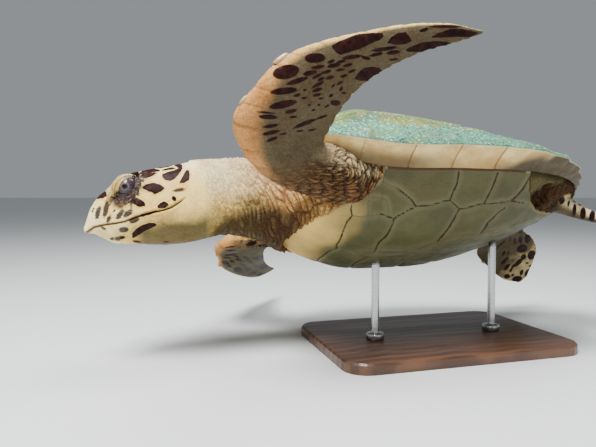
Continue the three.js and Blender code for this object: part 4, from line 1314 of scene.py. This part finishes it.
# the belly shell's seams, by pixel: on its left half, mirrored on its right one
BELLY_LINES = [
    [(352, 205), (351, 210), (352, 216), (347, 222), (344, 230), (341, 237), (337, 246), (336, 256)],
    [(380, 214), (388, 217), (394, 219), (393, 224), (389, 232), (384, 239), (378, 244), (375, 252)],
    [(460, 209), (456, 216), (450, 226), (444, 234), (438, 241)],
    [(459, 172), (457, 184), (453, 193), (450, 201)],
    [(498, 173), (492, 188), (488, 196), (484, 204)], [(530, 177), (523, 190), (517, 196), (511, 201)],
    [(398, 189), (402, 192), (408, 197), (413, 202), (416, 207)],
    [(394, 219), (400, 215), (410, 210), (416, 207), (430, 205), (443, 202), (450, 201), (456, 206),
     (460, 209), (468, 208), (480, 204), (492, 204), (505, 202), (511, 201), (524, 203)],
    [(505, 208), (498, 214), (489, 223), (481, 234)]]
BELLY_FAINT = [
    [(289, 229), (291, 237), (295, 244), (300, 250)], [(352, 216), (360, 217), (372, 216), (380, 214)],
    [(369, 190), (369, 198), (368, 206), (368, 216)], [(386, 199), (388, 206), (389, 214)],
    [(376, 179), (382, 181), (388, 184), (396, 187), (402, 192)], [(372, 197), (379, 198), (386, 199)],
    [(300, 250), (318, 254), (336, 256), (356, 254), (375, 252), (395, 252), (415, 250), (438, 241),
     (462, 236), (481, 234), (505, 228)]]

SHELL_AMBER = rgb(150, 98, 48)
SHELL_BROWN = rgb(56, 38, 30)
ALGAE = rgb(50, 116, 92)
RIM_CREAM = rgb(236, 208, 142)
RIM_TAN = rgb(198, 156, 88)


def between(value, marks):
    """Which interval a value falls in, how far along it, and the distance to its nearer end."""
    marks = np.array(marks, float)
    i = np.clip(np.searchsorted(marks, value, side="right") - 1, 0, len(marks) - 2)
    part = (value - marks[i]) / (marks[i + 1] - marks[i])
    return i, part, np.minimum(value - marks[i], marks[i + 1] - value)


def scutes(x, y, q, turn):
    """The back shell's plates: distance to the nearest seam, way from front to rear, number, ray angle."""
    s = (x + SHELL_LENGTH / 2) / SHELL_LENGTH
    wave = 2.2 * waves(np.stack([x, y], -1), 22, 71)
    half = np.interp(s, *np.array(VERTEBRAL_HALF, float).T)
    off = (np.abs(y) - half) * 0.85 + wave
    edge_off = (np.abs(q) - COSTAL_EDGE) * half_width(x) + wave * 0.6
    vi, vp, vd = between(s + wave / 900, VERTEBRAL_SEAMS)
    ci, cp, cd = between(s - 0.05 * (np.abs(q) - 0.4) + wave / 900, COSTAL_SEAMS)
    mi, mp, md = between(turn / math.pi, (0,) + MARGINALS)
    middle, outer = off < 0, edge_off > 0
    seam = np.where(middle, np.minimum(-off, vd * SHELL_LENGTH),
                    np.where(outer, np.minimum(edge_off, md * RIM_RUN),
                             np.minimum(np.minimum(off, -edge_off), cd * SHELL_LENGTH)))
    part = np.where(middle, vp, np.where(outer, mp, cp))
    number = np.where(middle, vi, np.where(outer, 40 + mi, 20 + ci)) + np.where(y > 0, 100, 0) * ~middle
    # rays spread forwards from each plate's rear point
    marks = np.array(VERTEBRAL_SEAMS, float)
    rear_x = np.where(middle, marks[vi + 1], np.array(COSTAL_SEAMS)[ci + 1]) * SHELL_LENGTH - SHELL_LENGTH / 2
    rear_y = np.where(middle, 0, np.sign(y) * 0.5 * half_width(x))
    ray = np.arctan2(y - rear_y, rear_x + 12 - x)
    ray = np.where(outer, (turn - np.array((0,) + MARGINALS)[mi] * math.pi) * 9, ray)
    return np.maximum(seam, 0), part, number, ray


def with_ends(values, end=0):
    """Values of a loft's ring points, followed by those of its two end points."""
    return np.concatenate([values.ravel(), [end, end]])


def carapace():
    rows, top_steps, band_steps, inner_steps = 380, 190, 16, 60
    turn = np.linspace(0.02, math.pi - 0.015, rows)
    x, width = outline_at(turn)
    top_q = -np.cos(np.linspace(0, math.pi, top_steps))
    band_q = np.linspace(1, SEAM_AT + 0.004, band_steps + 1)[1:]
    inner_q = np.linspace(SEAM_AT, -SEAM_AT, inner_steps)
    q = np.concatenate([top_q, band_q, inner_q, -band_q[::-1]])
    zone = np.concatenate([np.zeros(top_steps), np.ones(band_steps), np.full(inner_steps, 2),
                           np.ones(band_steps)])
    q, zone = np.broadcast_to(q, (rows, len(q))), np.broadcast_to(zone, (rows, len(zone)))
    x2, turn2 = (np.broadcast_to(v[:, None], q.shape) for v in (x, turn))
    y = q * (width[:, None] + tooth_at(turn)[:, None] * smooth(0.8, 1, np.abs(q)))
    z = np.where(zone == 1, belly_height(x2, q),
                 back_height(x2, q) - np.where(zone == 2, SHELL_PLATE, 0))
    z = np.where(zone == 2, np.maximum(z, belly_height(x2, q) + 2), z)
    points, quads, fans = closed_loft(np.stack([x2, y, z], -1))
    normals = loft_normals(points, quads, fans)
    px, py, pq, pt, pz = (with_ends(*v) for v in ((x2, 0), (y, 0), (q, 0), (turn2, 0.1), (zone, 2)))
    seam, part, number, ray = scutes(px, py, pq, pt)
    _, mpart, md = between(pt / math.pi, (0,) + MARGINALS)
    band_seam = md * RIM_RUN
    above = pz == 0
    lift = np.where(above, 2.4 * np.maximum(part, 0) ** 1.6 - 1.1 * bell(seam, 1.5), 0)
    ridge = bell(py, 10) * smooth(0.08, 0.2, (px + SHELL_LENGTH / 2) / SHELL_LENGTH)
    lift += np.where(above, 1.8 * ridge * part, 0)
    lift += np.where(above, 0.35 * waves(np.stack([px, py], -1), 18, 72), 0)
    lift = np.where(pz == 1, -1.0 * bell(band_seam, 1.4) - 0.6 * bell((np.abs(pq) - SEAM_AT) * 200, 2), lift)
    lift *= 1 - 0.8 * smooth(0.97, 1.0, np.abs(pq)) * above
    points = points + normals * lift[:, None]
    obj = make_object("back_shell", to_row(points), quads, fans)
    # painted shade on the rim plates' band: darker towards the rear and on the lower front part
    in_by = np.clip(1 - np.abs(pq), 0, 0.2)
    dusk = 0.96 * smooth(0, 70, px + 450 * (in_by - 0.12) + 12 * waves(np.stack([px, py], -1), 30, 85))
    dusk = np.maximum(dusk, 0.75 * smooth(0.04, 0.15, in_by) * (1 - smooth(-150, -40, px)))
    set_floats(obj.data, seam=np.where(above, seam, band_seam), ray=ray * 3 + number * 7.3,
               under=(pz >= 1).astype(float), reach=part * 6, margin=1 - np.abs(pq),
               fore=np.where(pz >= 1, mpart, part), dusk=(pz >= 1) * dusk)
    return obj


def shell_look():
    look = Look("back_shell", Specular_IOR_Level=0.2)
    seam, margin = look.field("seam"), look.field("margin")
    node = look.tree.nodes.new("ShaderNodeCombineXYZ")
    look.plug(node.inputs["X"], look.field("ray"))
    look.plug(node.inputs["Y"], look.calc("MULTIPLY", look.field("reach"), 0.14))
    streak = look.noise(1000 / 1.6, 4, 0.6, vector=node.outputs["Vector"])
    horn = look.layers(SHELL_BROWN, (streak, (0.42, 0.58), SHELL_AMBER),
                       (seam, (0.4, 2.2, 0.9, 0), (40, 32, 28)))
    film = look.step(look.noise(60, 5, 0.6), 0.3, 0.58, 0.5, 0.92)
    film = look.calc("SUBTRACT", film, look.step(streak, 0.62, 0.7, 0, 0.25))
    algae = look.layers(ALGAE, (look.noise(42, 5, 0.6, (0.5, 1.4, 1)), (0.4, 0.62), (108, 134, 58)),
                        (look.noise(17, 4), (0.45, 0.7, 0, 0.7), (36, 84, 84)))
    specks = look.calc("MULTIPLY", look.step(look.grains(7), 0.3, 0.12),
                       look.step(look.noise(45, 3), 0.45, 0.6))
    # a speckled blue-green strip of algae just above the rim plates
    strip = look.calc("ADD", margin, look.step(look.noise(18, 3), 0.3, 0.7, -0.05, 0.05))
    strip = look.calc("MULTIPLY", look.step(strip, 0.14, 0.11),
                      look.step(look.noise(24, 4), 0.35, 0.6, 0.35, 0.9))
    dots = look.layers(rgb(14, 44, 48), (look.grains(4.2), (0.22, 0.5), (78, 146, 122)))
    pale = look.calc("MULTIPLY", look.step(look.grains(6), 0.34, 0.2), look.step(look.noise(30, 3), 0.4, 0.55))
    top = look.layers(
        horn, (film, None, algae), (look.calc("MULTIPLY", specks, 0.85), None, (216, 228, 200)),
        (strip, None, dots), (look.calc("MULTIPLY", pale, 0.6), None, (214, 226, 200)),
        (look.noise(2.5, 2), (0.4, 0.75, 0, 0.3), (70, 84, 66), "MULTIPLY"))
    tan = look.calc("ADD", look.calc("MULTIPLY", look.field("fore"), 0.25), look.noise(34, 3))
    # the rim plates: cream and tan, with a painted shade laid over their rear and lower front
    low = look.layers(
        RIM_CREAM, (tan, (0.5, 0.85, 0, 0.6), RIM_TAN),
        (look.noise(30, 5, 0.6, (0.6, 1, 1)), (0.44, 0.66, 0, 0.75), (198, 156, 92)),
        (margin, (0.08, 0.19, 0, 0.5), (150, 118, 70)), (look.field("dusk"), None, (52, 46, 30)),
        (look.noise(4, 4, 0.6, (1, 1, 3)), (0.45, 0.75, 0, 0.3), (128, 96, 62)),
        (seam, (0.3, 1.8, 0.8, 0), (104, 60, 38)), (margin, (0.004, 0.02, 0.55, 0), (236, 226, 190)))
    normal = look.bump(look.noise(3, 4, 0.6), 0.5, 0.8)
    normal = look.bump(streak, 0.35, 0.5, normal)
    normal = look.bump(specks, 0.8, 0.7, normal)
    return look.finish(look.blend(look.field("under"), top, low),
                       look.step(look.noise(16, 3), 0.3, 0.7, 0.42, 0.66), normal)


def plastron():
    rows, steps = 300, 130
    x = np.linspace(BELLY_PLAN[0][0] + 0.5, BELLY_PLAN[-1][0] - 0.5, rows)
    width = np.maximum(plan_width(x) - 0.4, 0.5)
    v = -np.cos(np.linspace(0, math.pi, steps))
    v = np.sign(v) * np.abs(v) ** 0.9
    v = np.concatenate([v, v[::-1]])
    inner = np.concatenate([np.zeros(steps), np.ones(steps)])
    y = v[None] * width[:, None]
    x2 = np.broadcast_to(x[:, None], y.shape)
    q = y / half_width(x2)
    rim = np.minimum(width[:, None] - np.abs(y), np.minimum(x2 - x[0], x[-1] - x2))
    soften = 2.6 * (1 - np.sqrt(1 - (1 - np.clip(rim / 4, 0, 1)) ** 2))
    z = belly_height(x2, q) + np.where(inner > 0, BELLY_PLATE, soften)
    points, quads, fans = closed_loft(np.stack([x2, y, z], -1))
    px, py, pq, pin, rim = (with_ends(np.broadcast_to(v, y.shape)) for v in (x2, y, q, inner, rim))
    left = MIDLINE - np.abs(py - MIDLINE)
    spot = pixels(np.stack([px, left, belly_height(px, np.clip(left / half_width(px), -1, 1))], -1))
    spot += wander(points, 18, 81, 82) * 0.5
    seam = np.min([line_distance(spot, line) for line in BELLY_LINES], axis=0) * BELLY_PIXEL
    faint = np.min([line_distance(spot, line) for line in BELLY_FAINT], axis=0) * BELLY_PIXEL
    normals = loft_normals(points, quads, fans)
    lift = 0.9 * smooth(0, 9, np.minimum(seam, faint + 2)) - 1.0 * bell(seam, 1.7) - 0.5 * bell(faint, 1.6)
    lift += 0.5 * waves(np.stack([px, py], -1), 40, 83)
    points = points + normals * (np.where(pin == 0, lift, 0) - 0.6)[:, None]
    obj = make_object("belly_shell", to_row(points), quads, fans)
    # bright: how far the belly shell faces up, used for painted light and shade
    up = (normals @ POSTURE.T)[:, 2]
    bridge = (px > -168) & (px < 62)
    set_floats(obj.data, seam=seam, faint=faint, rim=rim, joint=np.where(bridge, rim, 20),
               bright=smooth(-0.5, 0.1, up), throat=1 - smooth(-270, -205, px + 22 * waves(points, 50, 84)))
    return obj


def belly_look():
    look = Look("belly_shell", Specular_IOR_Level=0.16)
    seam, faint, bright = look.field("seam"), look.field("faint"), look.field("bright")
    broad = look.noise(75, 4, 0.6)
    scratch = look.noise(3, 4, 0.6, (0.25, 2, 1))
    uneven = look.step(look.noise(7, 3), 0.2, 0.8, -0.6, 0.6)
    throat = look.calc("MULTIPLY", look.field("throat"), look.step(broad, 0.2, 0.75, 1.0, 0.6))
    # an olive base darkened as painted shade; painted green shade on faces turned down and painted light on
    # faces turned up
    colour = look.layers(
        rgb(62, 58, 34), (broad, (0.35, 0.68), (84, 76, 44)),
        (look.noise(26, 4, 0.65, (1, 2.4, 1)), (0.46, 0.72, 0, 0.6), (84, 58, 28)),
        (look.calc("MINIMUM", seam, faint), (2, 13, 0.35, 0), (122, 116, 84)),
        (bright, (0, 0.5, 0.3, 0), (84, 94, 66)), (throat, None, (240, 200, 112)),
        (look.calc("MULTIPLY", bright, 0.12), None, (160, 150, 110)),
        (look.calc("ADD", seam, uneven), (0.8, 2.3, 0.92, 0), (44, 20, 10)),
        (look.calc("ADD", faint, uneven), (0.5, 1.9, 0.45, 0), (84, 62, 40)),
        (look.field("rim"), (0.5, 3.5, 0.4, 0), (176, 158, 112)),
        # the dark line at the joint with the rim plates: a seam, deepened as painted shade
        (look.field("joint"), (1.4, 3, 0.8, 0), (60, 30, 18)),
        (scratch, (0.5, 0.8, 0, 0.35), (120, 96, 64), "MULTIPLY"))
    normal = look.bump(look.noise(8, 4), 0.5, 0.7, look.bump(scratch, 0.25, 0.6))
    return look.finish(colour, look.step(look.noise(14, 3), 0.3, 0.7, 0.44, 0.62), normal)


# ---- the beak ----
def thick_patch(points, quads, keep, normals, thickness):
    """A closed body: the kept faces, the same faces deeper in, and walls round their border."""
    quads = quads[keep]
    used = np.unique(quads)
    number = np.full(len(points), -1)
    number[used] = np.arange(len(used))
    quads = number[quads]
    outer = points[used]
    inner = outer - normals[used] * thickness
    edges = np.stack([quads, np.roll(quads, -1, 1)], -1).reshape(-1, 2)
    walked = dict.fromkeys(map(tuple, edges.tolist()))
    border = np.array([(a, b) for a, b in walked if (b, a) not in walked])
    n = len(used)
    walls = np.stack([border[:, 1], border[:, 0], border[:, 0] + n, border[:, 1] + n], -1)
    return np.concatenate([outer, inner]), np.concatenate([quads, quads[:, ::-1] + n, walls]), used


def beak(name, corners, above):
    a = np.concatenate([np.linspace(88, 172, 120), np.linspace(172.6, 181, 22)])
    count = 320
    rings = head_surface(a, circle(count))
    centre = rings[-1].mean(0)
    caps = []
    for part in (0.85, 0.6, 0.3, 0.08):
        ring = centre + (rings[-1] - centre) * part
        ring[:, 0] += 2.2 * math.sqrt(1 - part ** 2)
        caps.append(ring)
    rings = np.concatenate([rings, np.array(caps)])
    points, quads, fans = closed_loft(rings)
    normals = loft_normals(points, quads, fans)
    pa, py, ph = points.T
    flat = np.stack([pa, ph], -1)
    gape = ph - gape_level(pa)
    gape = (gape if above else -gape) - 0.25
    edge = polygon_depth(flat, corners)
    lift = mix(-1.6, 0.55, smooth(-1.6, 1.2, edge)) - 2.6 * (1 - smooth(0, 2.6, gape)) ** 1.5
    lift *= smooth(0.5, 3, np.hypot(py, ph - points[-1, 2]))
    lift += 0.18 * np.sin(pa * 1.1 + 0.25 * ph) * smooth(1, 6, edge) * smooth(2, 6, gape)
    keep = (edge[quads] > -2.2).all(1) & (gape[quads] > -0.6).all(1)
    outer = points + normals * lift[:, None]
    thick = np.minimum(3.0, 0.45 * np.abs(py) + 0.8)[:, None]
    body, faces, used = thick_patch(outer, quads, keep, normals, thick[np.unique(quads[keep])])
    faint = spots_depth(pixels(head_out(left_side(points))), FAINT_SPOTS + HEAD_SPOTS) * HEAD_PIXEL
    faint = np.minimum(faint, (np.abs(py) - 3) * 0.8)
    obj = make_object(name, to_row(head_out(body)), faces)
    set_floats(obj.data, faint=np.tile(faint[used], 2), gape=np.tile(gape[used], 2),
               ahead=np.tile(pa[used], 2))
    return obj


def beak_look():
    look = Look("beak_horn", Specular_IOR_Level=0.28)
    grain = look.noise(9, 4, 0.6, (0.5, 1, 2.4))
    faint = look.calc("ADD", look.field("faint"), look.step(grain, 0.3, 0.7, -0.8, 0.8))
    # darker brown along the mouth line where the two beaks meet: painted shade
    colour = look.layers(
        rgb(242, 222, 154), (look.noise(24, 3), (0.35, 0.7), (226, 188, 104)),
        (grain, (0.45, 0.75, 0, 0.45), (176, 142, 92)),
        (look.field("ahead"), (150, 180, 0, 0.5), (248, 236, 184)),
        (faint, (-1.6, 0.4, 0, 0.97), (46, 40, 40)), (look.field("gape"), (0, 3.6, 0.9, 0), (96, 56, 28)))
    return look.finish(colour, look.step(grain, 0.3, 0.7, 0.34, 0.5), look.bump(grain, 0.3, 0.7))


# ---- eyes, claws, rods ----
def eye(name, side):
    off = np.linspace(0.004, math.pi - 0.004, 90)
    spin = circle(96)
    out = EYE_GAZE
    long_way = unit(EYE_LONG - out * (EYE_LONG @ out))
    short_way = np.cross(long_way, out)
    cornea = 1 + 0.045 * (1 - smooth(0.1, 0.62, off))
    radius = EYE_RADIUS * cornea[:, None, None]
    rings = (out * np.cos(off)[:, None, None] + np.sin(off)[:, None, None]
             * (long_way * np.cos(spin)[:, None] + short_way * np.sin(spin)[:, None])) * radius
    rings = EYE_CENTRE + rings
    rings[..., 1] *= -side
    points, quads, fans = closed_loft(rings)
    obj = make_object(name, to_row(head_out(points)), *orient(head_out(points), quads, fans))
    away = np.concatenate([np.repeat(off * EYE_RADIUS, len(spin)), [0, 50]])
    set_floats(obj.data, away=away, spin=np.concatenate([np.tile(np.sin(spin * 2), len(off)), [0, 0]]))
    return obj


def eye_look():
    look = Look("eye", Specular_IOR_Level=0.22, Coat_Weight=0.2, Coat_Roughness=0.03, Coat_IOR=1.376)
    away = look.calc("ADD", look.field("away"), look.step(look.noise(2.2, 3), 0.2, 0.8, -0.35, 0.35))
    fibre = look.noise(1.6, 4, 0.65)
    iris = look.layers(rgb(36, 30, 34), (fibre, (0.35, 0.68), (86, 76, 80)),
                       (look.noise(5, 3), (0.45, 0.75, 0, 0.5), (74, 50, 40)))
    ring = look.calc("MULTIPLY", look.step(away, 4.6, 5.6), look.step(away, 7.0, 5.8))
    colour = look.layers(rgb(34, 12, 14), (away, (2.7, 3.7), iris),
                         (look.calc("MULTIPLY", ring, 0.45), None, (118, 110, 116)),
                         (away, (8.0, 12.5, 0, 0.85), (40, 32, 36)))
    return look.finish(colour, 0.22, look.bump(fibre, 0.08, 0.4))


def claw(name, limb, at, length, radius):
    rows = [[i, *r] for i, r in enumerate(LIMBS[limb])]
    step = 0.01
    v = profile(rows, np.array([at - step, at, at + step]))
    lead, trail = v[:, 0:3], v[:, 3:6]
    chord = trail[1] - lead[1]
    run = unit((lead[2] + trail[2] - lead[0] - trail[0])[None])[0]
    normal = unit(np.cross(run, chord)[None])[0]
    out = -unit(chord[None])[0]
    t = np.linspace(0, 1, 26)[:, None, None] ** 0.8
    centre = lead[1] - 1.5 * out + (t - 0.35) * length * run + 0.14 * length * t * out
    size = radius * np.sqrt(1 - t * 0.999) * (0.75 + 0.25 * np.minimum(1, 3 * t)) + 0.4
    spin = circle(28)[:, None]
    rings = centre + out * size * np.cos(spin) + normal * 0.8 * size * np.sin(spin)
    points, quads, fans = closed_loft(rings)
    obj = make_object(name, to_row(points), quads, fans)
    set_floats(obj.data, tip=np.concatenate([np.repeat(t.ravel(), 28), [0, 1]]))
    return obj


def claw_look():
    look = Look("claw_horn", Specular_IOR_Level=0.5, Coat_Weight=0.2, Coat_Roughness=0.25)
    grain = look.noise(3, 3, 0.6, (1, 1, 0.4))
    colour = look.layers(rgb(164, 128, 84), (look.field("tip"), (0.3, 0.9), (204, 178, 132)),
                         (grain, (0.5, 0.8, 0, 0.4), (166, 134, 92)))
    return look.finish(colour, look.step(grain, 0.3, 0.7, 0.26, 0.42), look.bump(grain, 0.15, 0.7))


def rod(name, x, y):
    low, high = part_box(name)
    floor, top = low.z * 1000, high.z * 1000
    collar = floor + ROD_COLLAR_HEIGHT
    line = [(0.4, floor), (ROD_COLLAR - 1, floor), (ROD_COLLAR, floor + 1), (ROD_COLLAR, collar - 4)]
    line += [(ROD_COLLAR - 4 + 4 * math.cos(k), collar - 4 + 4 * math.sin(k)) for k in np.linspace(0.2, 1.5, 7)]
    line += [(ROD_RADIUS + 1.2, collar), (ROD_RADIUS, collar + 1.2)]
    line += [(ROD_RADIUS, z) for z in np.linspace(collar + 3, top, 12)] + [(0.4, top)]
    spin = circle(56)
    rings = np.array([[(x + r * math.cos(k), y + r * math.sin(k), z) for k in spin] for r, z in line])
    points, quads, fans = closed_loft(rings)
    return make_object("display_" + name[6:], points / 1000, quads, fans)


def steel_look():
    look = Look("brushed_steel", Metallic=1.0)
    brush = look.noise(0.9, 3, 0.6, (0.06, 0.06, 3))
    colour = look.layers(rgb(176, 178, 180), (brush, (0.3, 0.7), (206, 207, 208)))
    return look.finish(colour, look.step(brush, 0.3, 0.7, 0.24, 0.38), look.bump(brush, 0.03, 0.5))


def wood_look():
    look = Look("walnut", Specular_IOR_Level=0.45, Coat_Weight=0.25, Coat_Roughness=0.25)
    wide = look.noise(26, 4, 0.6, (0.08, 1, 1))
    pores = look.noise(1.6, 2, 0.5, (0.05, 1, 1))
    rings = look.tree.nodes.new("ShaderNodeTexWave")
    rings.wave_type, rings.bands_direction = "BANDS", "Y"
    for key, value in {"Vector": look.place, "Scale": 14.0, "Distortion": 7.0, "Detail": 3.0,
                       "Detail Scale": 0.7}.items():
        look.plug(rings.inputs[key], value)
    colour = look.layers(
        rgb(74, 46, 30), (rings.outputs["Fac"], (0.2, 0.9), (104, 68, 44)),
        (wide, (0.4, 0.7, 0, 0.6), (52, 32, 22)), (pores, (0.6, 0.75, 0, 0.7), (32, 20, 14)),
        (look.noise(160, 3, 0.5), (0.4, 0.7, 0, 0.3), (118, 80, 54)))
    return look.finish(colour, look.step(wide, 0.3, 0.7, 0.34, 0.46), look.bump(pores, 0.15, 0.5))


finish_piece(carapace(), shell_look(), "back_shell", "carapace")
finish_piece(plastron(), belly_look(), "belly_shell", "plastron")
horn = beak_look()
finish_piece(beak("upper_beak", UPPER_HORN, True), horn, "horn", "beak_upper")
finish_piece(beak("lower_beak", LOWER_HORN, False), horn, "horn", "beak_lower")
glassy = eye_look()
finish_piece(eye("left_eye", -1), glassy, "eye", "eye_left")
finish_piece(eye("right_eye", 1), glassy, "eye", "eye_right")
nail = claw_look()
for limb in LIMBS:
    for i, claw_row in enumerate(FRONT_CLAWS if limb.startswith("front") else REAR_CLAWS):
        finish_piece(claw(f"nail_{limb}_{i + 1}", limb, *claw_row), nail, "claw", f"claw_{limb}_{i + 1}")
steel = steel_look()
for rod_name, place in zip(("stand_rod_front", "stand_rod_rear"), ROD_AT):
    finish_piece(rod(rod_name, *place), steel, "stand_rod", rod_name)
NODES["stand_base"].data.materials.clear()
NODES["stand_base"].data.materials.append(wood_look())


# ---- stage ----
def stage():
    floor = make_object("floor", np.array([[-60, -60, 0], [60, -60, 0], [60, 60, 0], [-60, 60, 0]], float),
                        np.array([[0, 1, 2, 3]]), smooth_shade=False)
    look = Look("floor_paint", Base_Color=(*rgb(216, 218, 218), 1), Roughness=0.75)
    floor.data.materials.append(look.material)
    world = bpy.data.worlds.new("studio")
    world.use_nodes = True
    world.node_tree.nodes["Background"].inputs["Color"].default_value = (0.78, 0.84, 0.88, 1)
    world.node_tree.nodes["Background"].inputs["Strength"].default_value = 0.36
    bpy.context.scene.world = world
    # name, place, side in metres, watts
    for name, at, size, power in (("key", (-1.0, -0.8, 2.1), 0.8, 132), ("top", (0.5, 0.2, 2.4), 1.2, 40),
                                  ("fill", (0.9, -2.4, 0.9), 1.6, 5)):
        light = bpy.data.lights.new(name, "AREA")
        light.energy, light.size = power, size
        obj = bpy.data.objects.new(name, light)
        obj.location = at
        aim = Vector((-0.1, 0, 0.25)) - Vector(at)
        obj.rotation_mode = "QUATERNION"
        obj.rotation_quaternion = aim.to_track_quat("-Z", "Y")
        bpy.context.scene.collection.objects.link(obj)


def camera():
    data = bpy.data.cameras.new("camera")
    data.sensor_width = 36
    data.lens = 18 / math.tan(math.radians(FIELD) / 2)
    data.clip_start, data.clip_end = 0.01, 50
    obj = bpy.data.objects.new("camera", data)
    obj.location = Vector(CAM_AT / 1000)
    obj.rotation_mode = "QUATERNION"
    obj.rotation_quaternion = Vector(-CAM_BACK).to_track_quat("-Z", "Y")
    bpy.context.scene.collection.objects.link(obj)
    bpy.context.scene.camera = obj


stage()
camera()
